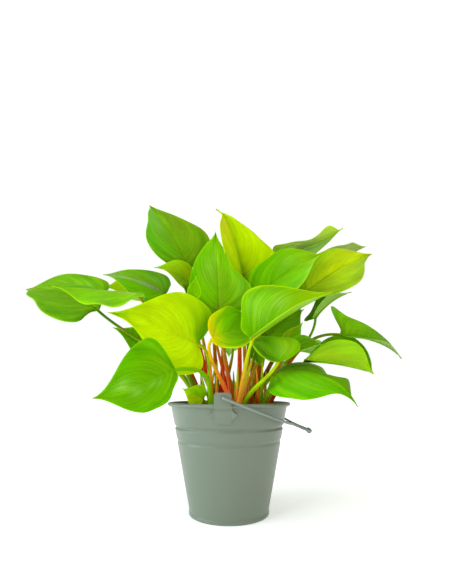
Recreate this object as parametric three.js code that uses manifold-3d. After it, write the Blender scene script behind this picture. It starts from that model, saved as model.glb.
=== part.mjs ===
// A lime-leaved heart-leaf philodendron growing in a small enamelled pail with a swinging wire bail.
// Millimetres, +Z up. The origin is the centre of the pail's base, on the surface that the pail stands on.
// -Y is the front, where one of the two bail ears is, and the bail hangs down on the +X side.
import * as THREE from "three";
import { mergeVertices } from "three/addons/utils/BufferGeometryUtils.js";
import Module from "manifold-3d";

const wasm = await Module();
wasm.setup();

// Driving dimensions of the pail
const PAIL_HEIGHT = 118;
const RIM_RADIUS = 65;
const RIM_BEAD_RADIUS = 2;
const WALL_TOP_RADIUS = 62;
const WALL_FOOT_RADIUS = 41.6;
const FOOT_BEAD_RADIUS = 42.8;
const FOOT_BEAD_HEIGHT = 4;
const SHEET = 0.8;
const FLOOR = 1.2;
const GROOVE_HEIGHTS = [89.5, 76.5];
const GROOVE_WIDTH = 7;
const GROOVE_DEPTH = 1;
const PAIL_SIDES = 48;
const CLEARANCE = 0.3;

// Driving dimensions of the bail and its ears
const HINGE_HEIGHT = 124;
const HINGE_YAW = -5;
const BAIL_DROOP = 23;
const BAIL_WIRE = 2.2;
const BAIL_REACH = 74.5;
const BAIL_HALF_SPAN = 69.6;
const BAIL_ROUNDNESS = 1.8;
const LOOP_REACH = 91.5;
const LOOP_HALF_WIDTH = 9.5;
const GRIP_RADIUS = 2.5;
const GRIP_LENGTH = 11;
const EAR_SHEET = 1;
const EAR_TAB_WIDTH = 15.4;
const EAR_WING_WIDTH = 25;
const EAR_TOP = 128.4;
const EAR_FOOT = 99.5;
const EAR_HOLE_RADIUS = 1.6;

// Driving dimensions of the planting
const SOIL_TOP = 105;
const CROWN_RADIUS = 5;
const CROWN_FOOT = 84;
const CROWN_TOP = 113;
const PETIOLE_FOOT_RADIUS = 2.1;
const PETIOLE_END_RADIUS = 1.25;
const BLADE = 0.8;

const LEAF_LIME = 0xb4dc08;
const LEAF_GREEN = 0x5fbe06;
const LEAF_DEEP = 0x3f9408;

const up = new THREE.Vector3(0, 0, 1);
const radians = THREE.MathUtils.degToRad;

function paint(colour, roughness, metalness = 0) {
  return new THREE.MeshStandardMaterial({ color: colour, roughness, metalness });
}

const enamel = paint(0x84948a, 0.45, 0.3);
const steel = paint(0x78857c, 0.4, 0.5);
const earth = paint(0x2e2119, 0.95);
const stalk = paint(0xb0602a, 0.55);

function named(name, geometry, material) {
  const mesh = new THREE.Mesh(geometry, material);
  mesh.name = name;
  return mesh;
}

// Booleans
function toSolid(geometry) {
  const bare = geometry.clone();
  bare.deleteAttribute("normal");
  bare.deleteAttribute("uv");
  const merged = mergeVertices(bare, 1e-4);
  return new wasm.Manifold(
    new wasm.Mesh({
      numProp: 3,
      vertProperties: new Float32Array(merged.attributes.position.array),
      triVerts: new Uint32Array(merged.index.array),
    }),
  );
}

function toGeometry(solid) {
  const mesh = solid.getMesh();
  const geometry = new THREE.BufferGeometry();
  geometry.setAttribute("position", new THREE.BufferAttribute(mesh.vertProperties, 3));
  geometry.setIndex(new THREE.BufferAttribute(mesh.triVerts, 1));
  geometry.computeVertexNormals();
  return geometry;
}

// A closed plate of even thickness around a sheet of points and faces, whose edge is a loop of its points
function thicken(points, faces, edge, thickness) {
  const sheet = new THREE.BufferGeometry().setFromPoints(points);
  sheet.setIndex(faces.flat());
  sheet.computeVertexNormals();
  const normal = sheet.getAttribute("normal");
  const count = points.length;
  const step = (i, side) => new THREE.Vector3().fromBufferAttribute(normal, i).multiplyScalar((side * thickness) / 2);
  const both = [1, -1].flatMap((side) => points.map((point, i) => point.clone().add(step(i, side))));
  const under = faces.map(([a, b, c]) => [a + count, c + count, b + count]);
  const rim = edge.flatMap((a, i) => {
    const b = edge[(i + 1) % edge.length];
    return [
      [a, a + count, b],
      [b, a + count, b + count],
    ];
  });
  const plate = new THREE.BufferGeometry().setFromPoints(both);
  plate.setIndex([...faces, ...under, ...rim].flat());
  plate.computeVertexNormals();
  return plate;
}

// A closed round rod of changing radius along a curve
function sweep(curve, steps, sides, radiusAt) {
  const frames = curve.computeFrenetFrames(steps, false);
  const points = [];
  const faces = [];
  for (let i = 0; i <= steps; i++) {
    const centre = curve.getPointAt(i / steps);
    for (let j = 0; j < sides; j++) {
      const turn = (2 * Math.PI * j) / sides;
      points.push(
        centre
          .clone()
          .addScaledVector(frames.normals[i], radiusAt(i / steps) * Math.cos(turn))
          .addScaledVector(frames.binormals[i], radiusAt(i / steps) * Math.sin(turn)),
      );
    }
  }
  for (let i = 0; i < steps; i++) {
    for (let j = 0; j < sides; j++) {
      const k = (j + 1) % sides;
      const [a, b] = [i * sides + j, i * sides + k];
      faces.push([a, b, a + sides], [b, b + sides, a + sides]);
    }
  }
  const last = steps * sides;
  for (let j = 1; j < sides - 1; j++) {
    faces.push([0, j + 1, j], [last, last + j, last + j + 1]);
  }
  const rod = new THREE.BufferGeometry().setFromPoints(points);
  rod.setIndex(faces.flat());
  rod.computeVertexNormals();
  return rod;
}

// The pail
function wallRadius(z) {
  const slope = (WALL_TOP_RADIUS - WALL_FOOT_RADIUS) / PAIL_HEIGHT;
  return WALL_FOOT_RADIUS + slope * z;
}

function grooved(z) {
  return GROOVE_HEIGHTS.reduce((radius, centre) => {
    const off = Math.abs(z - centre) / (GROOVE_WIDTH / 2);
    return off < 1 ? radius - GROOVE_DEPTH * Math.cos((off * Math.PI) / 2) : radius;
  }, wallRadius(z));
}

function wallHeights(steps) {
  const across = Array.from({ length: 2 * steps + 1 }, (_, i) => i / steps - 1);
  const around = GROOVE_HEIGHTS.flatMap((centre) => across.map((s) => centre + (s * GROOVE_WIDTH) / 2));
  return [FOOT_BEAD_HEIGHT + 1, ...around.sort((a, b) => a - b), PAIL_HEIGHT - 2 * RIM_BEAD_RADIUS];
}

function pailWall() {
  const outside = [
    [FOOT_BEAD_RADIUS - SHEET, 0],
    [FOOT_BEAD_RADIUS, SHEET],
    [FOOT_BEAD_RADIUS, FOOT_BEAD_HEIGHT - SHEET],
    ...wallHeights(2).map((z) => [grooved(z), z]),
  ];
  const bead = [-80, -30, 20, 70, 120, 160].map((angle) => [
    RIM_RADIUS - RIM_BEAD_RADIUS + RIM_BEAD_RADIUS * Math.cos(radians(angle)),
    PAIL_HEIGHT - RIM_BEAD_RADIUS + RIM_BEAD_RADIUS * Math.sin(radians(angle)),
  ]);
  const inside = wallHeights(1)
    .reverse()
    .map((z) => [grooved(z) - SHEET, z]);
  const seam = [[WALL_FOOT_RADIUS - SHEET, 0]];
  const profile = [...outside, ...bead, ...inside, ...seam];
  profile.push(profile[0]);
  return new THREE.LatheGeometry(
    profile.map(([r, z]) => new THREE.Vector2(r, z)),
    PAIL_SIDES,
  ).rotateX(Math.PI / 2);
}

function disc(radius, low, high) {
  return new THREE.CylinderGeometry(radius, radius, high - low, PAIL_SIDES)
    .rotateX(Math.PI / 2)
    .translate(0, 0, (low + high) / 2);
}

// One pressed lug: a waisted plate that lies on the wall, steps out over the rim bead and stands above it
function pailEar() {
  const rows = [
    [EAR_FOOT, 8],
    [EAR_FOOT + 3, 10.5],
    [EAR_FOOT + 8.5, EAR_WING_WIDTH / 2],
    [EAR_FOOT + 10.5, 10.2],
    [EAR_FOOT + 12.5, EAR_TAB_WIDTH / 2],
    [PAIL_HEIGHT - 3.5, EAR_TAB_WIDTH / 2],
    [PAIL_HEIGHT, EAR_TAB_WIDTH / 2],
    [EAR_TOP - 1.6, EAR_TAB_WIDTH / 2],
    [EAR_TOP, EAR_TAB_WIDTH / 2 - 1.8],
  ];
  const across = [-1, -0.5, 0, 0.5, 1];
  const lift = CLEARANCE + EAR_SHEET / 2;
  const centreRadius = (z) => lift + (z < PAIL_HEIGHT - 5 ? wallRadius(z) + 0.15 : RIM_RADIUS);
  const points = rows.flatMap(([z, half]) =>
    across.map((s) => {
      const radius = centreRadius(z);
      const turn = (s * half) / radius;
      return new THREE.Vector3(radius * Math.sin(turn), -radius * Math.cos(turn), z);
    }),
  );
  const columns = across.length;
  const faces = [];
  for (let i = 0; i < rows.length - 1; i++) {
    for (let j = 0; j < columns - 1; j++) {
      const a = i * columns + j;
      faces.push([a, a + 1, a + columns], [a + 1, a + columns + 1, a + columns]);
    }
  }
  const top = (rows.length - 1) * columns;
  const edge = [
    ...across.map((_, j) => j),
    ...rows.slice(1).map((_, i) => (i + 2) * columns - 1),
    ...across.slice(1).map((_, j) => top + columns - 2 - j),
    ...rows.slice(1, -1).map((_, i) => top - (i + 1) * columns),
  ];
  const plate = toSolid(thicken(points, faces, edge, EAR_SHEET));
  const punch = new THREE.CylinderGeometry(EAR_HOLE_RADIUS, EAR_HOLE_RADIUS, 12, 12);
  return toGeometry(plate.subtract(toSolid(punch.translate(0, -RIM_RADIUS, HINGE_HEIGHT))));
}

// The bail is drawn flat, with u running out from the hinge line and v along it, and is then let down
function bailOval(v) {
  return BAIL_REACH * (1 - Math.abs(v / BAIL_HALF_SPAN) ** BAIL_ROUNDNESS) ** (1 / BAIL_ROUNDNESS);
}

function bailHalf() {
  const hook = [
    [3.4, -RIM_RADIUS + 4.6],
    [1, -RIM_RADIUS + 3.9],
    [0, -RIM_RADIUS + 1.6],
    [0, -RIM_RADIUS - 1],
    [0.6, -BAIL_HALF_SPAN + 0.9],
    [3, -BAIL_HALF_SPAN],
  ];
  const arm = [68.6, 67, 64, 59.5, 53, 45, 36, 27, 19].map((v) => [bailOval(v), -v]);
  const loop = [
    [BAIL_REACH - 1, -LOOP_HALF_WIDTH - 2],
    [BAIL_REACH + 4, -LOOP_HALF_WIDTH],
    [LOOP_REACH - 3, -LOOP_HALF_WIDTH],
    [LOOP_REACH, -LOOP_HALF_WIDTH + 3],
    [LOOP_REACH, -LOOP_HALF_WIDTH / 3],
  ];
  return [...hook, ...arm, ...loop];
}

function bailPoints() {
  const near = bailHalf();
  const far = near.map(([u, v]) => [u, -v]).reverse();
  return [...near, ...far].map(([u, v]) => new THREE.Vector3(u, v, 0));
}

function bailWire() {
  const curve = new THREE.CatmullRomCurve3(bailPoints(), false, "centripetal");
  return sweep(curve, 68, 8, () => BAIL_WIRE / 2);
}

function bailGrip() {
  const bore = BAIL_WIRE / 2 + 1.5 * CLEARANCE;
  const outer = new THREE.CylinderGeometry(GRIP_RADIUS, GRIP_RADIUS, GRIP_LENGTH, 16);
  const inner = new THREE.CylinderGeometry(bore, bore, GRIP_LENGTH + 2, 16);
  return toGeometry(toSolid(outer).subtract(toSolid(inner))).translate(LOOP_REACH, 0, 0);
}

// The leaves. Outlines are in leaf lengths along the midrib and half widths across it
const WIDEST = 0.45;
const VEIN_SWEEP = 1.8;
const BLADE_ROWS = [0.15, 0.3, 0.45, 0.57, 0.69, 0.8, 0.9];
const YOUNG_ROWS = [0.2, 0.45, 0.65, 0.85];
const YOUNG_WIDTH = 32;
const BLADE_COLUMNS = [-1, -0.66, -0.3, 0, 0.3, 0.66, 1];
const JOINT_ROW = 0.14;

function cubic(points, t) {
  const weights = [(1 - t) ** 3, 3 * t * (1 - t) ** 2, 3 * t * t * (1 - t), t ** 3];
  return [0, 1].map((axis) => points.reduce((sum, point, i) => sum + weights[i] * point[axis], 0));
}

// Half of the outline: a shoulder curve from the notch to the widest point, then a flank curve to the tip
function marginAt(row, lobe, belly) {
  const shoulder = [
    [0, 0],
    [-lobe, 0.18],
    [-lobe, 1],
    [belly, 1],
  ];
  const flank = [
    [belly, 1],
    [belly + 0.28, 1],
    [0.55 + 0.62 * belly, 0.12],
    [1, 0],
  ];
  return row <= WIDEST ? cubic(shoulder, row / WIDEST) : cubic(flank, (row - WIDEST) / (1 - WIDEST));
}

function leafFrame({ base, tip, face }) {
  const start = new THREE.Vector3(...base);
  const along = new THREE.Vector3(...tip).sub(start);
  const length = along.length();
  along.normalize();
  const normal = new THREE.Vector3(...face);
  normal.addScaledVector(along, -normal.dot(along)).normalize();
  const across = new THREE.Vector3().crossVectors(along, normal);
  return { start, length, along, normal, across };
}

// How far one half's own irregularities move a point of it: along the midrib, outwards and upwards
function tugAt(tugs, row, t) {
  const sum = new THREE.Vector3();
  const inside = Math.min(1, 10 * row, 10 * (1 - row)) * t * t;
  for (const [centre, half, spread, ahead, out, up] of tugs) {
    const share = Math.sign(t) === half ? inside * Math.exp(-(((row - centre) / spread) ** 2)) : 0;
    sum.addScaledVector(new THREE.Vector3(ahead, out, up), share);
  }
  return sum;
}

// A point of the blade's middle surface: row runs from the notch, 0, to the tip, 1, and t across from -1 to 1
function leafPoint(leaf, row, t) {
  const { start, length, along, normal, across } = leafFrame(leaf);
  const { width, fold = 12, curl = 0, arch = 0.08, hook = 0, sway = 0, bow = 0, twist = 0 } = leaf;
  const { wave = 0, ripples = 1.2, phase = 0, lobe = 0.1, belly = 0.24, tugs = [] } = leaf;
  const [marginX, marginQ] = marginAt(row, lobe, belly);
  const rib = row ** VEIN_SWEEP;
  const x = rib + Math.abs(t) * (marginX - rib);
  const eta = Math.abs(t) * marginQ;
  const rise = radians(fold + (curl * eta) / 2);
  const tug = tugAt(tugs, row, t);
  const q = (eta * width) / 2 + tug.y;
  const ripple = wave * eta * eta * Math.sin(2 * Math.PI * ripples * x + phase + (t > 0 ? 0 : 1.9)) + tug.z;
  const turn = radians(twist * (x - 0.5));
  const flat = Math.sign(t) * q * Math.cos(rise);
  const lift = q * Math.sin(rise) + ripple;
  const crest = 4 * x * (1 - x) * length;
  const droop = hook * length * Math.max(0, (x - 0.72) / 0.28) ** 2;
  const aside = sway * length * Math.max(0, (x - 0.8) / 0.2) ** 2;
  return start
    .clone()
    .addScaledVector(along, x * length + tug.x)
    .addScaledVector(across, flat * Math.cos(turn) - lift * Math.sin(turn) + bow * crest + aside)
    .addScaledVector(normal, flat * Math.sin(turn) + lift * Math.cos(turn) + arch * crest - droop);
}

function leafBlade(leaf) {
  const columns = BLADE_COLUMNS.length;
  const rowsAt = leaf.width < YOUNG_WIDTH ? YOUNG_ROWS : BLADE_ROWS;
  const rows = rowsAt.length;
  const points = rowsAt.flatMap((row) => BLADE_COLUMNS.map((t) => leafPoint(leaf, row, t)));
  const notch = points.push(leafPoint(leaf, 0, 0)) - 1;
  const tip = points.push(leafPoint(leaf, 1, 0)) - 1;
  const faces = [];
  for (let j = 0; j < columns - 1; j++) {
    faces.push([notch, j + 1, j]);
    for (let i = 0; i < rows - 1; i++) {
      const a = i * columns + j;
      faces.push([a, a + 1, a + columns], [a + 1, a + columns + 1, a + columns]);
    }
    const end = (rows - 1) * columns + j;
    faces.push([end, end + 1, tip]);
  }
  const rising = rowsAt.map((_, i) => i * columns + columns - 1);
  const falling = rowsAt.map((_, i) => (rows - 1 - i) * columns);
  return thicken(points, faces, [notch, ...rising, tip, ...falling], BLADE);
}

function petioleCurve(leaf, crown) {
  const { along, normal } = leafFrame(leaf);
  const { fold = 12, reach = 0.6, rise = 0.42, lead = 0.3, lean = 0.35 } = leaf;
  const arrival = along.clone().multiplyScalar(reach).addScaledVector(normal, Math.sqrt(1 - reach * reach));
  const roof = Math.max(0, Math.tan(radians(-fold)));
  const drop = BLADE / 2 / Math.cos(radians(fold)) + 2 * CLEARANCE + PETIOLE_END_RADIUS * (reach + roof);
  const end = leafPoint(leaf, JOINT_ROW, 0).addScaledVector(normal, -drop);
  const outward = new THREE.Vector3(end.x - crown.x, end.y - crown.y, 0).normalize();
  const foot = new THREE.Vector3(crown.x, crown.y, CROWN_TOP - 6);
  foot.addScaledVector(outward, CROWN_RADIUS - 2.6);
  const span = foot.distanceTo(end);
  const climb = up.clone().addScaledVector(outward, lean).normalize();
  const first = foot.clone().addScaledVector(climb, rise * span);
  const straight = end.clone().addScaledVector(arrival, -lead * span);
  const second = leaf.elbow ? new THREE.Vector3(...leaf.elbow) : straight;
  return new THREE.CubicBezierCurve3(foot, first, second, end);
}

function petiole(leaf, crown) {
  const curve = petioleCurve(leaf, crown);
  const size = Math.min(1, leaf.width / 50);
  const radiusAt = (s) => size * PETIOLE_FOOT_RADIUS + (PETIOLE_END_RADIUS - size * PETIOLE_FOOT_RADIUS) * s;
  return sweep(curve, 7, 6, radiusAt);
}

function crownCone(crown) {
  return new THREE.CylinderGeometry(CROWN_RADIUS - 1.4, CROWN_RADIUS, CROWN_TOP - CROWN_FOOT, 10)
    .rotateX(Math.PI / 2)
    .translate(crown.x, crown.y, (CROWN_TOP + CROWN_FOOT) / 2);
}

function stem(crown, leaves) {
  const petioles = leaves.map((leaf) => toSolid(petiole(leaf, crown)));
  return toGeometry(petioles.reduce((solid, rod) => solid.add(rod), toSolid(crownCone(crown))));
}

// Where each leafy stem's crown stands in the soil
const CROWNS = {
  stem_front_left: new THREE.Vector2(-14, -26),
  stem_front: new THREE.Vector2(8, -30),
  stem_front_right: new THREE.Vector2(30, -22),
  stem_right: new THREE.Vector2(38, 4),
  stem_back_right: new THREE.Vector2(22, 28),
  stem_back_left: new THREE.Vector2(-10, 28),
  stem_left: new THREE.Vector2(-26, 2),
  stem_middle: new THREE.Vector2(8, 0),
};

// Every leaf: its stem, the notch where its petiole joins, its tip, its width, and where its upper face
// looks. fold lifts the halves, curl bends them further, arch bows the midrib, hook drops the tip, sway bends
// it aside, and wave ripples the margin. A tug moves a stretch of the margin: its centre row, its half, its
// spread in rows, and how far it goes towards the tip, outwards and upwards.
const LEAVES = {
  leaf_crest_left: {
    stem: "stem_back_left", base: [-46, 22, 270], tip: [-94, 40, 348], width: 86,
    face: [0.42, -0.86, 0.27], fold: 17, lobe: 0.06, hue: "deep",
    tugs: [[0.62, 1, 0.14, 0, -3, 0], [0.28, -1, 0.14, 0, -6, 0], [0.82, -1, 0.12, 0, 3, 0]],
  },
  leaf_centre: {
    stem: "stem_middle", base: [-9, -28, 207], tip: [-14, -12, 295], width: 59, face: [0.05, -1, 0.25],
    fold: 5, arch: 0.04, lobe: 0.05, hue: "green",
    tugs: [[0.8, -1, 0.2, 0, 7, 0], [0.2, 1, 0.12, 0, -4, 0], [0.5, 1, 0.08, 0, 2, 0]],
  },
  leaf_crest_lime: {
    stem: "stem_middle", base: [17, 20, 252], tip: [-11, 24, 336], width: 74, face: [0.46, -0.86, 0.2],
    fold: 34, sway: -0.05, bow: 0.02, belly: 0.2, hue: "lime",
    tugs: [
      [0.92, 1, 0.1, 0, 3, 0],
      [0.6, 1, 0.12, 0, -4, 0],
      [0.36, 1, 0.12, 0, 5, 0],
      [0.75, -1, 0.16, 0, 10, 0],
    ],
  },
  leaf_crest_right: {
    stem: "stem_back_right", base: [55, 45, 288], tip: [141, 60, 330], width: 66, face: [-0.15, 0.12, 1],
    fold: 4, arch: -0.02, hook: -0.02, wave: 3, hue: "green",
    tugs: [[0.48, 1, 0.16, 0, -9, 0], [0.85, 1, 0.12, 0, 5, 0], [0.75, -1, 0.22, 0, 11, 0]],
  },
  leaf_upper_right: {
    stem: "stem_middle", base: [27, -8, 225], tip: [105, 10, 281], width: 78, face: [-0.3, -0.9, 0.35],
    fold: 26, hue: "green",
    tugs: [[0.3, -1, 0.16, 4, -14, 0], [0.52, -1, 0.13, 0, -11, 0], [0.8, -1, 0.1, 0, 3, 0]],
  },
  leaf_right_lime: {
    stem: "stem_right", base: [84, 10, 239], tip: [170, 45, 292], width: 66, face: [0, -0.85, 0.53],
    fold: 14, belly: 0.34, hue: "lime",
    tugs: [
      [0.48, -1, 0.18, 0, -5, 0],
      [0.45, 1, 0.1, 0, 4, 0],
      [0.2, 1, 0.15, 0, -6, 0],
      [0.72, 1, 0.1, 0, -3, 0],
    ],
  },
  leaf_right_back: {
    stem: "stem_back_right", base: [86, 50, 251], tip: [169, 62, 308], width: 60, face: [-0.2, 0.5, 1],
    fold: 8, hue: "green",
    tugs: [[0.82, 1, 0.18, 0, 4, 1], [0.5, 1, 0.15, 0, -4, 0]],
  },
  leaf_front_right: {
    stem: "stem_front", base: [19, -62, 177], tip: [100, -40, 226], width: 82, face: [-0.37, -0.7, 0.6],
    fold: 42, arch: 0.03, lobe: -0.05, belly: 0.27, hue: "green",
    tugs: [[0.6, -1, 0.2, 0, -3, 0]],
  },
  leaf_front_small: {
    stem: "stem_front", base: [-15, -50, 180], tip: [40, -30, 197], width: 42, face: [0, -1, 0.15],
    fold: 10, lobe: 0.06, hue: "green",
    tugs: [[0.3, 1, 0.2, 0, -6, 0], [0.3, -1, 0.15, 0, 2, 0]],
  },
  leaf_front_lime: {
    stem: "stem_front_left", base: [-32, -38, 177], tip: [-110, -62, 201], width: 80,
    face: [-0.1, -1, 0.3], fold: 8, lobe: 0.14, elbow: [-10, -8, 172], hue: "lime",
    tugs: [[0.24, 1, 0.12, -3, 6, 0], [0.2, -1, 0.12, -5, 2, -2], [0.74, -1, 0.18, 0, -7, 0]],
  },
  leaf_front_low: {
    stem: "stem_front_left", base: [-48, -66, 150], tip: [-113, -92, 124], width: 66, face: [0, -1, 0.1],
    fold: 10, bow: -0.06, lobe: -0.03, belly: 0.3, elbow: [-12, -34, 157], hue: "green",
    tugs: [
      [0.33, 1, 0.12, 0, 4, 0],
      [0.24, -1, 0.12, 8, -9, 0],
      [0.42, -1, 0.12, 3, -7, 0],
      [0.75, -1, 0.12, 0, 3, 0],
    ],
  },
  leaf_far_left: {
    stem: "stem_left", base: [-137, -10, 215], tip: [-231, 25, 245], width: 76, face: [-0.2, -0.75, 0.6],
    fold: 12, bow: 0.03, lobe: 0.05, hue: "deep",
    tugs: [
      [0.25, 1, 0.15, 7, -3, 0],
      [0.48, 1, 0.12, 0, -4, 0],
      [0.8, 1, 0.12, 0, 3, 0],
      [0.72, -1, 0.16, 0, 3, 0],
      [0.2, -1, 0.12, 5, 0, 0],
    ],
  },
  leaf_left_shelf: {
    stem: "stem_left", base: [-87, -36, 226], tip: [-167, -50, 228.5], width: 60, face: [0, -0.36, 0.93],
    fold: -26, arch: 0, wave: 3, ripples: 2, hue: "green",
    tugs: [[0.74, -1, 0.14, 0, 5, -2], [0.34, -1, 0.16, 0, -8, 3], [0.8, 1, 0.2, 0, 0, 6]],
  },
  leaf_left_folded: {
    stem: "stem_left", base: [-71, 12, 237], tip: [-136, 2, 255], width: 46, face: [0, -0.85, 0.5],
    fold: -6, arch: 0.1, hue: "green",
    tugs: [[0.8, 1, 0.12, 0, 3, 0], [0.15, 1, 0.12, -4, 3, 0]],
  },
  leaf_left_inner: {
    stem: "stem_back_left", base: [-91, 30, 254], tip: [-139, 20, 253], width: 40, face: [0, -1, 0.3],
    fold: 10, hue: "lime",
  },
  leaf_left_hooked: {
    stem: "stem_back_left", base: [-42, 1, 244], tip: [-79, -6, 260], width: 36, face: [-0.2, -0.8, 0.6],
    fold: 16, arch: 0.14, hue: "lime",
    tugs: [[0.66, -1, 0.24, 0, -4, 1], [0.75, 1, 0.15, 0, 4, 0]],
  },
  leaf_heart_shade: {
    stem: "stem_middle", base: [-25, -15, 222], tip: [-50, -21, 240], width: 28, face: [0, -1, 0.3],
    fold: 12, hue: "deep",
    tugs: [[0.55, 1, 0.25, 0, 4, 0]],
  },
  leaf_heart_young: {
    stem: "stem_front_left", base: [-35, -38.5, 220], tip: [-32, -38.5, 242], width: 14,
    face: [0.3, -0.9, 0], fold: 10, hue: "green",
  },
  leaf_left_under: {
    stem: "stem_left", base: [-72, 22, 171], tip: [-127, 8, 199], width: 50, face: [-0.1, -0.9, 0.4],
    fold: 8, hue: "green",
  },
  leaf_rim_young: {
    stem: "stem_front_left", base: [-26, -34, 122], tip: [-46, -34, 132], width: 24, face: [0, -1, 0.2],
    fold: 12, hue: "green",
  },
  leaf_right_low: {
    stem: "stem_front_right", base: [47, -36, 147], tip: [115.5, -70, 124], width: 54,
    face: [0.05, -0.72, 0.66], fold: -20, arch: 0.16, hook: 0.14, belly: 0.46, hue: "green",
    tugs: [
      [0.34, 1, 0.14, 0, 4, 0],
      [0.7, 1, 0.15, 0, -5, 0],
      [0.52, -1, 0.1, 0, -9, -2],
      [0.28, -1, 0.12, 0, 2, 3],
      [0.78, -1, 0.08, 0, 2, 2],
      [0.92, -1, 0.07, 0, -4, 0],
    ],
  },
  leaf_right_keel: {
    stem: "stem_right", base: [78, -12, 162], tip: [149, -16, 148], width: 62, face: [0, -0.1, 1],
    fold: 48, arch: 0.04, belly: 0.5, hue: "lime",
    tugs: [[0.55, -1, 0.2, 0, 6, 4], [0.78, -1, 0.18, 4, 6, 4]],
  },
  leaf_far_right: {
    stem: "stem_right", base: [117, -15, 188], tip: [199, 30, 167], width: 62, face: [0.55, -0.55, 0.65],
    fold: 32, belly: 0.06, elbow: [86, 26, 203], hue: "deep",
    tugs: [
      [0.5, -1, 0.16, 0, -10, 0],
      [0.7, -1, 0.14, 0, -5, 0],
      [0.27, -1, 0.1, -9, 9, 0],
      [0.12, -1, 0.07, 6, 0, 0],
    ],
  },
  leaf_right_upper: {
    stem: "stem_back_right", base: [98, 30, 213], tip: [144, 40, 246], width: 44, face: [-0.4, -0.2, 0.9],
    fold: 35, hue: "deep",
    tugs: [[0.38, -1, 0.15, 0, -11, 0], [0.15, -1, 0.1, -6, 0, 0]],
  },
  leaf_right_inner: {
    stem: "stem_front_right", base: [62, -32, 175], tip: [92, -40, 174], width: 28, face: [0.1, -0.6, 0.8],
    fold: 10, elbow: [56, -4, 163], hue: "deep",
    tugs: [[0.6, 1, 0.25, 0, 8, 0]],
  },
  leaf_front_cupped: {
    stem: "stem_front", base: [47, -55, 158], tip: [27, -20, 186], width: 46, face: [-0.1, -0.47, 0.88],
    fold: 24, elbow: [36, -54, 138], hue: "lime",
    tugs: [[0.34, 1, 0.16, -2, 4, -1], [0.62, 1, 0.18, 0, -6, 0]],
  },
  leaf_right_tongue: {
    stem: "stem_right", base: [60, -15, 175], tip: [78, -6, 202], width: 19, face: [-0.3, -0.9, 0.2],
    fold: 20, hue: "lime",
  },
  leaf_right_shade: {
    stem: "stem_middle", base: [42, 5, 187], tip: [84, 18, 221], width: 56, face: [-0.2, -0.9, 0.4],
    fold: 12, hue: "deep",
  },
  leaf_front_hanging: {
    stem: "stem_front", base: [24, -28, 178], tip: [32, -28, 154], width: 24, face: [-0.2, -0.95, 0.2],
    fold: 14, hue: "deep",
    tugs: [[0.65, -1, 0.22, 0, 6, 0], [0.4, 1, 0.2, 0, -4, 0]],
  },
  leaf_back_left_high: {
    stem: "stem_back_left", base: [-20, 60, 235], tip: [-60, 125, 255], width: 70, face: [0, 0.3, 1],
    fold: 14, hue: "green",
  },
  leaf_back_high: {
    stem: "stem_back_right", base: [18, 68, 230], tip: [34, 138, 238], width: 70, face: [0, 0.3, 1],
    fold: 14, hue: "lime",
  },
  leaf_back_right_high: {
    stem: "stem_back_right", base: [50, 65, 222], tip: [100, 122, 226], width: 66, face: [0.1, 0.4, 1],
    fold: 14, hue: "green",
  },
  leaf_back_right_low: {
    stem: "stem_back_right", base: [72, 58, 178], tip: [132, 104, 170], width: 60, face: [0.2, 0.3, 1],
    fold: 14, hue: "deep",
  },
  leaf_back_left_far: {
    stem: "stem_left", base: [-62, 48, 188], tip: [-122, 88, 190], width: 62, face: [-0.2, 0.4, 1],
    fold: 14, hue: "green",
  },
  leaf_back_left_low: {
    stem: "stem_back_left", base: [-40, 68, 168], tip: [-82, 126, 150], width: 64, face: [-0.2, 0.6, 1],
    fold: 14, hue: "deep",
  },
  leaf_back_crest: {
    stem: "stem_back_left", base: [-5, 55, 252], tip: [-8, 92, 320], width: 64, face: [0, 1, 0.4],
    fold: 12, hue: "lime",
  },
  leaf_back_middle: {
    stem: "stem_back_right", base: [36, 72, 200], tip: [62, 134, 186], width: 62, face: [0.1, 0.45, 1],
    fold: 14, hue: "green",
  },
  leaf_back_low: {
    stem: "stem_back_left", base: [5, 68, 185], tip: [0, 132, 178], width: 60, face: [0, 0.6, 1], fold: 14,
    hue: "green",
  },
};

const HUES = { lime: paint(LEAF_LIME, 0.4), green: paint(LEAF_GREEN, 0.4), deep: paint(LEAF_DEEP, 0.42) };

function soil() {
  const lip = 1.4;
  const profile = [
    [0, FLOOR + CLEARANCE],
    [wallRadius(0) - SHEET - lip, FLOOR + CLEARANCE],
    [wallRadius(SOIL_TOP - 2) - SHEET - lip, SOIL_TOP - 2],
    [wallRadius(SOIL_TOP) - 8, SOIL_TOP],
    [20, SOIL_TOP + 2],
    [0, SOIL_TOP + 1.4],
  ];
  const body = new THREE.LatheGeometry(
    profile.map(([r, z]) => new THREE.Vector2(r, z)),
    36,
  ).rotateX(Math.PI / 2);
  const holes = Object.values(CROWNS).map((crown) =>
    toSolid(
      new THREE.CylinderGeometry(CROWN_RADIUS + 2 * CLEARANCE, CROWN_RADIUS + 2 * CLEARANCE, 40, 12)
        .rotateX(Math.PI / 2)
        .translate(crown.x, crown.y, CROWN_FOOT + 20 - CLEARANCE),
    ),
  );
  return toGeometry(holes.reduce((solid, hole) => solid.subtract(hole), toSolid(body)));
}

const part = new THREE.Group();

const pail = new THREE.Group();
pail.add(named("pail_wall", pailWall(), enamel));
pail.add(named("pail_floor", disc(WALL_FOOT_RADIUS - SHEET - 1.5 * CLEARANCE, 0, FLOOR), enamel));
const ears = new THREE.Group();
ears.rotation.z = radians(HINGE_YAW);
ears.add(named("ear_front", pailEar(), enamel));
const backEar = named("ear_back", pailEar(), enamel);
backEar.rotation.z = Math.PI;
ears.add(backEar);
pail.add(ears);
pail.add(named("potting_soil", soil(), earth));
part.add(pail);

const bail = new THREE.Group();
bail.rotation.set(0, radians(BAIL_DROOP), radians(HINGE_YAW), "ZYX");
bail.position.z = HINGE_HEIGHT;
bail.add(named("bail_wire", bailWire(), steel));
bail.add(named("bail_grip", bailGrip(), steel));
part.add(bail);

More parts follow.
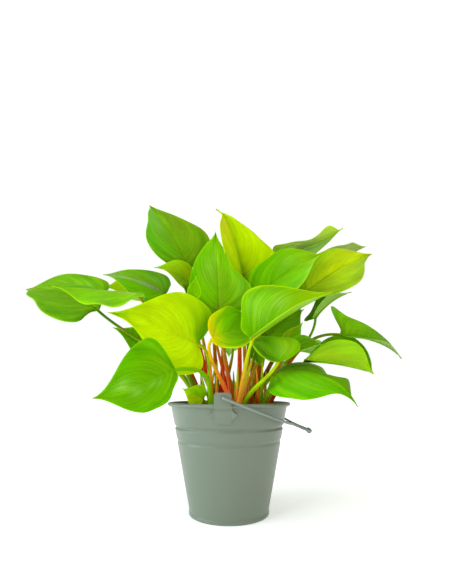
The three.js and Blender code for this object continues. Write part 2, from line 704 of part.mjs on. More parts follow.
const plant = new THREE.Group();
for (const [name, crown] of Object.entries(CROWNS)) {
  const own = Object.values(LEAVES).filter((leaf) => leaf.stem === name);
  plant.add(named(name, stem(crown, own), stalk));
}
for (const [name, leaf] of Object.entries(LEAVES)) {
  plant.add(named(name, leafBlade(leaf), HUES[leaf.hue]));
}
part.add(plant);

export default part;
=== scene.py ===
"""A lime-leaved heart-leaf philodendron in a painted metal pail with a wire bail.

Lengths are in millimetres unless a docstring says metres, and every mesh is made in metres.
The pail stands on the floor at the origin, -Y is the front, and the bail hangs down on the +X side.
"""

import logging
import math
import random
from collections.abc import Callable
from dataclasses import dataclass
from enum import Enum
from functools import cached_property

import bmesh
import bpy
from mathutils import Matrix, Vector, noise


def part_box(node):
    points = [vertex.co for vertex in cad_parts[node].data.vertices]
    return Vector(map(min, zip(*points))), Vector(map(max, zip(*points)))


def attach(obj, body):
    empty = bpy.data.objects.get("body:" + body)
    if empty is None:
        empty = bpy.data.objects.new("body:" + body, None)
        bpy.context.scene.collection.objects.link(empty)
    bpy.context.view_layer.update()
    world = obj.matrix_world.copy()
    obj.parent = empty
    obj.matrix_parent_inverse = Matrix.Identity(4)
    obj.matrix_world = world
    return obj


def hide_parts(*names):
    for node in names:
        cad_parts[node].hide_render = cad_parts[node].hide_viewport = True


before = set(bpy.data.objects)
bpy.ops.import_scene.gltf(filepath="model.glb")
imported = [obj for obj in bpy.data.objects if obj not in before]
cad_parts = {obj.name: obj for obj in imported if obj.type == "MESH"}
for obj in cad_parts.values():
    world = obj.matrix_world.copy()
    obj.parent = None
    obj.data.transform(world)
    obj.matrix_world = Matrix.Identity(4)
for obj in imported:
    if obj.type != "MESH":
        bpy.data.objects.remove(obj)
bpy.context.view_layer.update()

LOG = logging.getLogger("potted_plant")
MM = 0.001
UP = Vector((0.0, 0.0, 1.0))
WHITE = (1.0, 1.0, 1.0, 1.0)
MERGE_DISTANCE = 1e-6

# The height and the turn of the bail's hinge line, and how far the bail hangs below level.
HINGE_HEIGHT = 124.0
HINGE_YAW = -5.0
BAIL_DROOP = 23.0

Pair = tuple[float, float]
Point = tuple[float, float, float]
Colour = tuple[float, float, float, float]
Place = Callable[[float, float], Vector]
Socket = bpy.types.NodeSocket
Material = bpy.types.Material
Piece = bpy.types.Object


def linear(code: int) -> Colour:
    """Turns an sRGB colour, written as 0xRRGGBB, into linear light.

    Args:
        code: The colour's six hexadecimal digits.

    Returns:
        Red, green and blue in linear light, and an alpha of 1.
    """
    shares = [((code >> shift) & 255) / 255 for shift in (16, 8, 0)]
    red, green, blue = (s / 12.92 if s <= 0.04045 else ((s + 0.055) / 1.055) ** 2.4 for s in shares)
    return (red, green, blue, 1.0)


def smooth(low: float, high: float, value: float) -> float:
    """Eases from 0 at low to 1 at high."""
    share = min(1.0, max(0.0, (value - low) / (high - low)))
    return share * share * (3 - 2 * share)


def blend(first: Colour, second: Colour, share: float) -> Colour:
    """Mixes two linear colours.

    Args:
        first: The colour at a share of 0.
        second: The colour at a share of 1.
        share: How much of the second colour there is.

    Returns:
        The mixed colour.
    """
    red, green, blue, alpha = (a + (b - a) * share for a, b in zip(first, second))
    return (red, green, blue, alpha)


class Hue(Enum):
    """The plant's own colours, as sRGB codes, and the pale green of a painted sheen."""

    ZEST = 0xC6DC06
    LEMON = 0xB8DA02
    LIME = 0xAED004
    YOUNG = 0x88C204
    SPRING = 0x6CB403
    FRESH = 0x58A902
    LEAF = 0x62A406
    MOSS = 0x549205
    DEEP = 0x447A06
    PINE = 0x2C5C08
    OLIVE = 0x80A40C
    KHAKI = 0x688A14
    # A pale green that the blade's colour is mixed towards on glossy stretches: a painted sheen.
    GLEAM = 0xB6E66A
    SILVER = 0x96B45A
    MAUVE = 0x8C9274
    TAN = 0x8E7A26
    YOLK = 0xE8CC00
    AMBER = 0xDE9428
    CORAL = 0xE4622A
    RED = 0xE23C08
    RUST = 0xB8480E
    MAHOGANY = 0x743008
    BARK = 0x2E1B12

    @property
    def colour(self) -> Colour:
        """The hue in linear light."""
        return linear(self.value)


class Slot(Enum):
    """The record's material slots."""

    ENAMEL = "enamel"
    BAIL = "bail_metal"
    SOIL = "soil"
    STALK = "stalk"
    LIME = "leaf_lime"
    GREEN = "leaf_green"
    DEEP = "leaf_deep"


class Body(Enum):
    """The bodies that pieces ride on."""

    PAIL = "pail"
    BAIL = "bail"


class Recipe:
    """A material's node graph, built step by step around one Principled shader."""

    def __init__(self, name: str) -> None:
        """Starts a material that holds a shader and an output.

        Args:
            name: The material's name.
        """
        self.material = bpy.data.materials.new(name)
        self.material.use_nodes = True
        self.tree = self.material.node_tree
        self.tree.nodes.clear()
        self.shader = self.node("ShaderNodeBsdfPrincipled")
        output = self.node("ShaderNodeOutputMaterial")
        self.tree.links.new(self.shader.outputs["BSDF"], output.inputs["Surface"])

    def node(self, kind: str, **settings: object) -> bpy.types.Node:
        """Adds a node.

        Args:
            kind: The node's Blender type.
            **settings: Properties to set on it.

        Returns:
            The new node.
        """
        made = self.tree.nodes.new(kind)
        for key, value in settings.items():
            setattr(made, key, value)
        return made

    def feed(self, socket: Socket, value: object) -> None:
        """Links a socket to another one, or sets it to a plain value.

        Args:
            socket: The input to fill.
            value: An output socket, a number, or a colour.
        """
        if isinstance(value, Socket):
            self.tree.links.new(value, socket)
        else:
            socket.default_value = value

    def set(self, **values: object) -> None:
        """Fills the shader's inputs, whose names are given with _ for each space."""
        for key, value in values.items():
            self.feed(self.shader.inputs[key.replace("_", " ")], value)

    def math(self, operation: str, *values: object) -> Socket:
        """Adds a Math node.

        Args:
            operation: Its operation.
            *values: Its inputs in order.

        Returns:
            Its result.
        """
        made = self.node("ShaderNodeMath", operation=operation)
        for socket, value in zip(made.inputs, values):
            self.feed(socket, value)
        return made.outputs[0]

    def times(self, first: object, second: object) -> Socket:
        """Multiplies two numbers."""
        return self.math("MULTIPLY", first, second)

    def scaled(self, value: object, factor: object, offset: object) -> Socket:
        """Multiplies a number by a factor and adds an offset."""
        return self.math("MULTIPLY_ADD", value, factor, offset)

    def ease(self, value: Socket, low: float, high: float, start: float = 0.0, end: float = 1.0) -> Socket:
        """Eases a value from start, where it is low, to end, where it is high.

        Args:
            value: The socket to read.
            low: The value at which the result is start.
            high: The value at which the result is end.
            start: The result at low.
            end: The result at high.

        Returns:
            The eased value.
        """
        made = self.node("ShaderNodeMapRange", interpolation_type="SMOOTHSTEP")
        for socket, given in zip(made.inputs, (value, low, high, start, end)):
            self.feed(socket, given)
        return made.outputs[0]

    def mix(self, share: object, first: object, second: object, way: str = "MIX") -> Socket:
        """Mixes two colours.

        Args:
            share: How much of the second there is.
            first: The first colour.
            second: The second colour.
            way: The mix node's blend type.

        Returns:
            The mixed colour.
        """
        made = self.node("ShaderNodeMix", data_type="RGBA", blend_type=way)
        self.feed(made.inputs[0], share)
        self.feed(made.inputs[6], first)
        self.feed(made.inputs[7], second)
        return made.outputs[2]

    def shade(self, colour: object, factor: Socket | float) -> Socket:
        """Darkens or lightens a colour.

        Args:
            colour: The colour.
            factor: What its red, green and blue are multiplied by.

        Returns:
            The new colour.
        """
        scaled = self.node("ShaderNodeVectorMath", operation="SCALE")
        self.feed(scaled.inputs[0], colour[:3] if isinstance(colour, tuple) else colour)
        self.feed(scaled.inputs[3], factor)
        return scaled.outputs[0]

    def object_place(self) -> Socket:
        """The place of a point in the piece's own frame, in metres."""
        return self.node("ShaderNodeTexCoord").outputs["Object"]

    def noise(self, place: Socket, scale: float, detail: float = 2.0) -> Socket:
        """Soft noise from 0 to 1.

        Args:
            place: Where it is read.
            scale: How many bumps there are in a unit of length.
            detail: How many finer layers it has.

        Returns:
            The noise.
        """
        made = self.node("ShaderNodeTexNoise")
        self.feed(made.inputs["Vector"], place)
        made.inputs["Scale"].default_value = scale
        made.inputs["Detail"].default_value = detail
        return made.outputs["Fac"]

    def combine(self, x: object, y: object, z: object = 0.0) -> Socket:
        """Makes a vector of three numbers.

        Args:
            x: The first number.
            y: The second number.
            z: The third number.

        Returns:
            The vector.
        """
        made = self.node("ShaderNodeCombineXYZ")
        for socket, value in zip(made.inputs, (x, y, z)):
            self.feed(socket, value)
        return made.outputs[0]

    def map_place(self) -> tuple[Socket, Socket]:
        """Reads a point's place on the piece's UV map.

        Returns:
            The first and the second part of the place.
        """
        split = self.node("ShaderNodeSeparateXYZ")
        self.feed(split.inputs[0], self.node("ShaderNodeUVMap", uv_map="UVMap").outputs[0])
        return split.outputs[0], split.outputs[1]

    def attribute(self, name: str, part: str = "Fac") -> Socket:
        """An attribute that is kept in the mesh.

        Args:
            name: Its name.
            part: The output to read, Color or Fac.

        Returns:
            Its value.
        """
        return self.node("ShaderNodeAttribute", attribute_name=name).outputs[part]

    def bump(self, height: Socket, depth: float, strength: float = 1.0) -> None:
        """Gives the shader a bump map.

        Args:
            height: The height, from about 0 to 1.
            depth: The depth of a height of 1, in metres.
            strength: How much of the bump there is.
        """
        made = self.node("ShaderNodeBump")
        made.inputs["Strength"].default_value = strength
        made.inputs["Distance"].default_value = depth
        self.feed(made.inputs["Height"], height)
        self.feed(self.shader.inputs["Normal"], made.outputs[0])


class LeafSide(Enum):
    """The three finishes of a blade, in the order of its material slots."""

    UPPER = 0
    UNDER = 1
    MARGIN = 2


SIDE_VEINS = 16
FINE_VEINS = 64
SIDE_VEIN_SHARE = 0.1
FINE_VEIN_SHARE = 0.5
QUILTS = 8
VEIN_SLANT = 0.46
VEIN_CURVE = 1.2
VEIN_FADE = (0.35, 0.97)
BROAD_STREAKS = 11.0
NARROW_STREAKS = 46.0
DRIFT_SCALE = 30.0
CLOUD_SCALE = 42.0
GRAIN_SCALE = 1500.0

# How far from the midrib and from the margin their light lines begin and end to fade.
RIB_FADE = (0.25, 1.3)
MARGIN_FADE = (0.3, 1.2)


@dataclass(frozen=True)
class LeafFinish:
    """How a kind of blade takes the light.

    Attributes:
        name: The finish's name.
        roughness: The roughness of the upper face.
        vein_light: How much lighter the veins are than the blade.
        streak: How much the fine streaks along the veins vary.
        tan: How brown the darker streaks are.
        gloss: How strongly the upper face mirrors.
        glow: The share of light that passes into the blade.
        sheen_tint: The colour that the gloss takes where it is seen square on.
        bloom: How much grey wax the underside has.
    """

    name: str
    roughness: float
    vein_light: float
    streak: float
    tan: float
    gloss: float
    glow: float
    sheen_tint: Hue
    bloom: float

    def material(self, side: LeafSide) -> Material:
        """Makes the material of one side of the blade.

        Args:
            side: The side.

        Returns:
            The material.
        """
        recipe = Recipe(f"{self.name}_{side.name.lower()}")
        place = recipe.object_place()
        tint = recipe.attribute("tint", "Color")
        row, across = recipe.map_place()
        reach = recipe.math("ABSOLUTE", recipe.scaled(across, 2.0, -1.0))
        bend = recipe.times(recipe.math("POWER", reach, VEIN_CURVE), VEIN_SLANT)
        line = recipe.math("SUBTRACT", row, bend)
        side_vein = self._veins(recipe, line, reach, SIDE_VEINS, SIDE_VEIN_SHARE)
        fine_vein = self._veins(recipe, line, reach, FINE_VEINS, FINE_VEIN_SHARE)
        rib = recipe.ease(recipe.attribute("rib_gap"), *RIB_FADE, 0.7, 0.0)
        drift = recipe.times(recipe.noise(place, DRIFT_SCALE), 1.2)
        broad, streaks = (
            recipe.noise(recipe.combine(recipe.times(line, count), reach, drift), 1.0, detail)
            for count, detail in ((BROAD_STREAKS, 2.0), (NARROW_STREAKS, 4.0))
        )
        clouds = recipe.noise(place, CLOUD_SCALE)
        grain = recipe.noise(place, GRAIN_SCALE)
        tone = recipe.scaled(streaks, self.streak, 1.0 - self.streak / 2)
        tone = recipe.times(tone, recipe.scaled(broad, 0.5, 0.74))
        tone = recipe.times(tone, recipe.scaled(clouds, 0.6, 0.7))
        blade = recipe.shade(tint, tone)
        pale = recipe.mix(0.4, recipe.shade(tint, 1.3), Hue.LIME.colour)
        brown = recipe.mix(0.5, recipe.shade(tint, 0.6), Hue.TAN.colour)
        blade = recipe.mix(recipe.ease(streaks, 0.5, 0.72, 0.0, self.tan), blade, brown)
        blade = recipe.mix(recipe.ease(broad, 0.5, 0.75, 0.0, 0.6 * self.vein_light), blade, pale)
        lines = recipe.math("MAXIMUM", recipe.times(side_vein, 0.8), rib)
        lines = recipe.math("MAXIMUM", recipe.times(fine_vein, 0.55), lines)
        blade = recipe.mix(recipe.times(lines, self.vein_light), blade, pale)
        edge = recipe.ease(recipe.attribute("edge_gap"), *MARGIN_FADE, 1.0, 0.0)
        if side is LeafSide.UPPER:
            # On glossy stretches the upper face is smoother, and its colour is mixed along the streaks
            # towards pale green: a painted sheen.
            glint = recipe.ease(streaks, 0.4, 0.62, 0.3, 1.0)
            shine = recipe.times(recipe.attribute("gleam"), glint)
            blade = recipe.mix(recipe.times(shine, 0.6), blade, Hue.GLEAM.colour)
            recipe.set(Base_Color=recipe.mix(recipe.times(edge, 0.6), blade, pale))
            dull = recipe.scaled(streaks, 0.2, self.roughness - 0.1)
            recipe.set(Roughness=recipe.scaled(shine, -0.12, dull))
            sunk = recipe.scaled(fine_vein, -0.22, recipe.times(streaks, 0.3))
            sunk = recipe.scaled(side_vein, -0.6, sunk)
            sunk = recipe.scaled(rib, -0.9, sunk)
            recipe.bump(recipe.scaled(grain, 0.05, sunk), 0.6 * MM, 0.7)
            recipe.set(Specular_IOR_Level=self.gloss)
        elif side is LeafSide.UNDER:
            waxed = recipe.mix(self.bloom, blade, Hue.SILVER.colour)
            recipe.set(Base_Color=recipe.mix(recipe.times(edge, 0.5), waxed, pale))
            recipe.set(Roughness=recipe.scaled(clouds, 0.1, 0.5))
            raised = recipe.scaled(side_vein, 0.8, recipe.times(fine_vein, 0.3))
            recipe.bump(recipe.scaled(grain, 0.1, raised), 0.4 * MM, 0.7)
            recipe.set(Specular_IOR_Level=0.12)
        else:
            recipe.set(Base_Color=pale)
            recipe.set(Roughness=recipe.scaled(grain, 0.1, 0.45))
            recipe.set(Specular_IOR_Level=0.15)
        recipe.set(Specular_Tint=self.sheen_tint.colour)
        recipe.set(Subsurface_Weight=self.glow, Subsurface_Scale=1.6 * MM, Subsurface_Radius=(0.5, 1.0, 0.12))
        return recipe.material

    def _veins(self, recipe: Recipe, line: Socket, reach: Socket, count: int, width: float) -> Socket:
        """Parallel veins that leave the midrib at even steps and fade towards the margin.

        Args:
            recipe: The material.
            line: The place along the midrib of the vein that passes through a point.
            reach: How far out from the midrib the point is, from 0 to 1.
            count: How many veins each half has.
            width: Half of a vein's width as a share of the step between veins.

        Returns:
            1 on a vein and 0 between veins.
        """
        wave = recipe.math("PINGPONG", recipe.times(line, float(count)), 0.5)
        vein = recipe.ease(wave, 0.0, width, 1.0, 0.0)
        return recipe.times(vein, recipe.ease(reach, *VEIN_FADE, 1.0, 0.15))


@dataclass(frozen=True)
class StalkFinish:
    """Smooth fleshy stalks with fine lengthwise streaks.

    Attributes:
        name: The finish's name.
        roughness: The skin's roughness.
    """

    name: str = "stalk_skin"
    roughness: float = 0.38

    def material(self) -> Material:
        """Makes the material.

        Returns:
            The material.
        """
        recipe = Recipe(self.name)
        around, along = recipe.map_place()
        turn = recipe.times(around, math.tau)
        ring = recipe.combine(recipe.math("COSINE", turn), recipe.math("SINE", turn), along)
        streaks = recipe.noise(ring, 3.2, 3.0)
        clouds = recipe.noise(recipe.object_place(), 90.0)
        tint = recipe.attribute("tint", "Color")
        tone = recipe.scaled(streaks, 0.5, 0.75)
        skin = recipe.shade(tint, tone)
        flushed = recipe.mix(recipe.ease(clouds, 0.52, 0.7, 0.0, 0.3), skin, Hue.CORAL.colour)
        green = recipe.ease(clouds, 0.48, 0.3, 0.0, 0.45)
        recipe.set(Base_Color=recipe.mix(green, flushed, Hue.KHAKI.colour))
        recipe.set(Roughness=recipe.scaled(streaks, 0.15, self.roughness - 0.07))
        recipe.bump(streaks, 0.25 * MM, 0.5)
        recipe.set(Specular_IOR_Level=0.16, Subsurface_Weight=0.12, Subsurface_Scale=1.2 * MM)
        recipe.set(Subsurface_Radius=(1.0, 0.5, 0.08), Specular_Tint=Hue.AMBER.colour)
        return recipe.material


@dataclass(frozen=True)
class PaintFinish:
    """Satin paint on sheet metal, with a faint orange peel and rubbed high spots.

    Attributes:
        name: The finish's name.
        code: The paint's sRGB code.
        worn: The sRGB code of the paint where it is rubbed thin.
        roughness: The paint's roughness.
        metallic: The share of metal that shows through.
    """

    name: str
    code: int
    worn: int
    roughness: float
    metallic: float = 0.0

    def material(self) -> Material:
        """Makes the material.

        Returns:
            The material.
        """
        recipe = Recipe(self.name)
        place = recipe.object_place()
        clouds = recipe.noise(place, 22.0, 4.0)
        peel = recipe.noise(place, 900.0, 1.0)
        rubbed = recipe.noise(place, 160.0, 5.0)
        tone = recipe.scaled(clouds, 0.08, 0.96)
        paint = recipe.shade(linear(self.code), tone)
        pointed = recipe.node("ShaderNodeNewGeometry").outputs["Pointiness"]
        high = recipe.times(recipe.ease(pointed, 0.52, 0.6), recipe.ease(rubbed, 0.45, 0.62))
        recipe.set(Base_Color=recipe.mix(recipe.times(high, 0.45), paint, linear(self.worn)))
        roughness = recipe.scaled(clouds, 0.12, self.roughness - 0.06)
        recipe.set(Roughness=recipe.scaled(rubbed, 0.05, roughness))
        recipe.set(Metallic=self.metallic)
        recipe.bump(recipe.scaled(peel, 0.2, clouds), 0.1 * MM, 0.5)
        return recipe.material


@dataclass(frozen=True)
class SoilFinish:
    """Damp peat, with painted shade in its hollows, and with each crumb's own colour.

    Attributes:
        name: The finish's name.
        roughness: The mix's roughness.
        dark: The sRGB code of its darkest peat.
        pale: The sRGB code of its palest peat.
    """

    name: str
    roughness: float = 0.9
    dark: int = 0x1B120C
    pale: int = 0x4A3424

    def material(self, crumbs: bool) -> Material:
        """Makes the material.

        Args:
            crumbs: Whether the colour comes from each crumb.

        Returns:
            The material.
        """
        recipe = Recipe(self.name)
        place = recipe.object_place()
        grain = recipe.noise(place, 700.0, 5.0)
        clumps = recipe.noise(place, 150.0, 3.0)
        # The clumps and the grain that raise the bump also lighten the colour, so the hollows carry painted
        # shade.
        peat = recipe.mix(clumps, linear(self.dark), linear(self.pale))
        base = recipe.attribute("tint", "Color") if crumbs else peat
        recipe.set(Base_Color=recipe.shade(base, recipe.scaled(grain, 0.9, 0.5)))
        recipe.set(Roughness=recipe.scaled(clumps, 0.15, self.roughness - 0.1))
        recipe.bump(recipe.math("ADD", grain, clumps), 1.2 * MM, 0.8)
        return recipe.material


@dataclass(frozen=True)
class StageFinish:
    """The plain pale floor, lit from within so that it fades into the white room.

    Attributes:
        code: Its sRGB code.
        lit_near: How strongly it glows under the pail.
        lit_far: How strongly it glows far away.
    """

    code: int = 0xF6F6F4
    lit_near: float = 0.36
    lit_far: float = 0.85

    def material(self) -> Material:
        """Makes the material.

        Returns:
            The material.
        """
        recipe = Recipe("stage_paper")
        fibre = recipe.noise(recipe.object_place(), 300.0, 2.0)
        recipe.set(Base_Color=recipe.shade(linear(self.code), recipe.scaled(fibre, 0.02, 0.99)))
        away = recipe.node("ShaderNodeVectorMath", operation="LENGTH")
        recipe.feed(away.inputs[0], recipe.object_place())
        recipe.set(Emission_Strength=recipe.ease(away.outputs[1], 0.1, 0.8, self.lit_near, self.lit_far))
        recipe.set(Emission_Color=WHITE, Roughness=0.9, Specular_IOR_Level=0.1)
        return recipe.material


class Sheet:
    """A mesh under construction, made of grids, rods and turned shapes."""

    def __init__(self) -> None:
        """Starts an empty mesh with a map and the attributes that finishes read."""
        self.mesh = bmesh.new()
        self.uv = self.mesh.loops.layers.uv.new("UVMap")
        self.tint = self.mesh.verts.layers.float_color.new("tint")

    def grid(self, columns: int, rows: int, place: Place) -> dict[bmesh.types.BMVert, Pair]:
        """Lays a grid whose points are placed by a function of u and v, both from 0 to 1.

        Args:
            columns: The number of faces along u.
            rows: The number of faces along v.
            place: Gives the point at u and v, in metres.

        Returns:
            The u and v of each vertex that is left once points that coincide are merged.
        """
        made = bmesh.ops.create_grid(self.mesh, x_segments=columns, y_segments=rows, size=0.5)["verts"]
        spots = {vert: (vert.co.x + 0.5, vert.co.y + 0.5) for vert in made}
        for face in {face for vert in made for face in vert.link_faces}:
            for loop in face.loops:
                loop[self.uv].uv = spots[loop.vert]
        for vert, (u, v) in spots.items():
            vert.co = place(u, v)
        bmesh.ops.remove_doubles(self.mesh, verts=made, dist=MERGE_DISTANCE)
        return {vert: spot for vert, spot in spots.items() if vert.is_valid}

    def rod(
        self, path: list[Vector], radii: list[float], sides: int, tints: list[Colour] | None = None
    ) -> None:
        """Lays a closed round rod along a path.

        Args:
            path: The points of its centre line, in metres.
            radii: Its radius at each point, in metres.
            sides: How many sides it has.
            tints: Its colour at each point, if it has colours of its own.
        """
        last = len(path) - 1
        tangents = [(path[min(i + 1, last)] - path[max(i - 1, 0)]).normalized() for i in range(last + 1)]
        across = [tangents[0].orthogonal().normalized()]
        for tangent in tangents[1:]:
            across.append((across[-1] - tangent * across[-1].dot(tangent)).normalized())

        def place(u: float, v: float) -> Vector:
            """Finds a point of the rod's skin.

            Args:
                u: The share of a turn round it.
                v: The share of its length.

            Returns:
                The point, in metres.
            """
            i = round(v * last)
            other = tangents[i].cross(across[i])
            turn = math.tau * u
            return path[i] + (across[i] * math.cos(turn) + other * math.sin(turn)) * radii[i]

        spots = self.grid(sides, last, place)
        if tints:
            for vert, (_, v) in spots.items():
                vert[self.tint] = tints[round(v * last)]
        rims = {edge for vert in spots for edge in vert.link_edges if edge.is_boundary}
        bmesh.ops.holes_fill(self.mesh, edges=list(rims), sides=0)

    def turned(self, profile: list[Pair], steps: int, closed: bool) -> None:
        """Turns a profile once round the Z axis.

        Args:
            profile: Radius and height of each point, in metres.
            steps: How many faces there are in a turn.
            closed: Whether the last point joins the first.
        """
        verts = [self.mesh.verts.new((radius, 0.0, height)) for radius, height in profile]
        pairs = list(zip(verts, verts[1:])) + ([(verts[-1], verts[0])] if closed else [])
        edges = [self.mesh.edges.new(pair) for pair in pairs]
        bmesh.ops.spin(
            self.mesh, geom=verts + edges, cent=Vector(), axis=UP, angle=math.tau, steps=steps, use_merge=True
        )
        bmesh.ops.remove_doubles(self.mesh, verts=self.mesh.verts, dist=MERGE_DISTANCE)
        bmesh.ops.recalc_face_normals(self.mesh, faces=self.mesh.faces)

    def float_layer(self, name: str) -> bmesh.types.BMLayerItem:
        """A number that the mesh keeps for each vertex."""
        return self.mesh.verts.layers.float.new(name)

    def outward(self) -> None:
        """Turns every face to point out."""
        bmesh.ops.recalc_face_normals(self.mesh, faces=self.mesh.faces)

    def finish(self, name: str, materials: list[Material]) -> Piece:
        """Makes the object, smooth all over, and frees the mesh under construction.

        Args:
            name: The piece's name.
            materials: Its materials in order.

        Returns:
            The new object, at the origin.
        """
        data = bpy.data.meshes.new(name)
        for face in self.mesh.faces:
            face.smooth = True
        self.mesh.to_mesh(data)
        self.mesh.free()
        for material in materials:
            data.materials.append(material)
        piece = bpy.data.objects.new(name, data)
        bpy.context.scene.collection.objects.link(piece)
        return piece


def hand_over(piece: Piece, body: Body, slot: Slot, *nodes: str) -> None:
    """Puts a finished piece on its body and hides the solids that it replaces.

    Args:
        piece: The piece.
        body: The body that it rides on.
        slot: The record's slot; not used.
        *nodes: The names of the solids that it replaces.
    """
    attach(piece, body.value)
    if nodes:
        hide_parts(*nodes)
    LOG.info("made %s with %d faces", piece.name, len(piece.data.polygons))


def hardened(piece: Piece) -> None:
    """Applies a piece's modifiers to its mesh.

    Args:
        piece: The piece.
    """
    graph = bpy.context.evaluated_depsgraph_get()
    made = bpy.data.meshes.new_from_object(piece.evaluated_get(graph))
    piece.modifiers.clear()
    piece.data = made


def sharp_above(piece: Piece, degrees: float) -> None:
    """Keeps the edges of a piece crisp where its faces meet at more than an angle."""
    piece.data.set_sharp_from_angle(angle=math.radians(degrees))


# The half outline: the row where it is widest, and the pulls of its curves in lengths or half widths.
WIDEST = 0.45
NOTCH_OPENING = 0.18
FLANK_RUN = 0.28
TAPER_PLACE = 0.55
TAPER_SHIFT = 0.62
TAPER_HALF = 0.14

# How the rows sweep ahead along the midrib, how fast tugs set in from either end, and where the tip's
# drop and its sideways bend begin. The waves of one half lag behind those of the other, in radians.
VEIN_SWEEP = 1.8
TUG_ONSET = 10
HOOK_START = 0.72
SWAY_START = 0.8
HALF_LAG = 1.9

# The relief of a blade that is at least as wide as FULL_RELIEF.
FULL_RELIEF = 70
GROOVE_DEPTH = 0.75
GROOVE_HALF = 1.7
QUILT_HEIGHT = 0.2
DRIFT_HEIGHT = 2.3

# Where the hues of the two halves, of the part near the notch and of the tip give way to each other; the
# colour near the notch is partly painted shade.
HALVES_BLEND = 0.12
HEEL_ROWS = (0.05, 0.5)
HEEL_SHARE = 0.85
POINT_ROWS = (0.35, 1.0)

# The solids' own sizes that the finer stems keep to.
CLEARANCE = 0.3
CAD_BLADE = 0.8
CROWN_RADIUS = 5.0
CROWN_TOP = 113.0
PETIOLE_FOOT_RADIUS = 2.1
PETIOLE_END_RADIUS = 1.25

# A petiole's path: how deep and how far in it starts and how near the blade it ends, how much it arrives
# along the blade rather than from below, how far it leans out at first, and how long its first and last
# bends are, as shares of its span.
JOINT_ROW = 0.14
PETIOLE_STEPS = 26
PETIOLE_DEPTH = 6
PETIOLE_INSET = 2.6
PETIOLE_SEAT = 1.45
PETIOLE_REACH = 0.6
PETIOLE_LEAN = 0.35
PETIOLE_RISE = 0.42
PETIOLE_LEAD = 0.3

# The rib under a blade: its first row and its length in rows, and how far it hangs below the blade's
# middle surface at the notch, with how much less at the tip.
RIB_STEPS = 12
RIB_START = 0.24
RIB_LENGTH = 0.7
RIB_DROP = 1.1
RIB_CLOSING = 0.6


def cubic_weights(t: float) -> tuple[float, float, float, float]:
    """The weights of a cubic curve's four control points at a share t of the way along it."""
    return ((1 - t) ** 3, 3 * t * (1 - t) ** 2, 3 * t * t * (1 - t), t**3)


def cubic(points: list[Pair], t: float) -> Pair:
    """A point of a flat cubic curve.

    Args:
        points: Its four control points.
        t: The share of the way along it.

    Returns:
        The point.
    """
    weights = cubic_weights(t)
    return tuple(sum(w * point[axis] for w, point in zip(weights, points)) for axis in (0, 1))


def nearness(row: float, side: float, spot: list[float]) -> float:
    """How near a point of a blade is to the middle of a soft spot.

    Args:
        row: The share of the way to the tip.
        side: The way across, from -1 to 1.
        spot: The spot's centre row, its centre across, and its spreads in both.

    Returns:
        1 in its middle, and falling to 0 round it.
    """
    centre, middle, spread, width = spot
    return math.exp(-(((row - centre) / spread) ** 2 + ((side - middle) / width) ** 2))


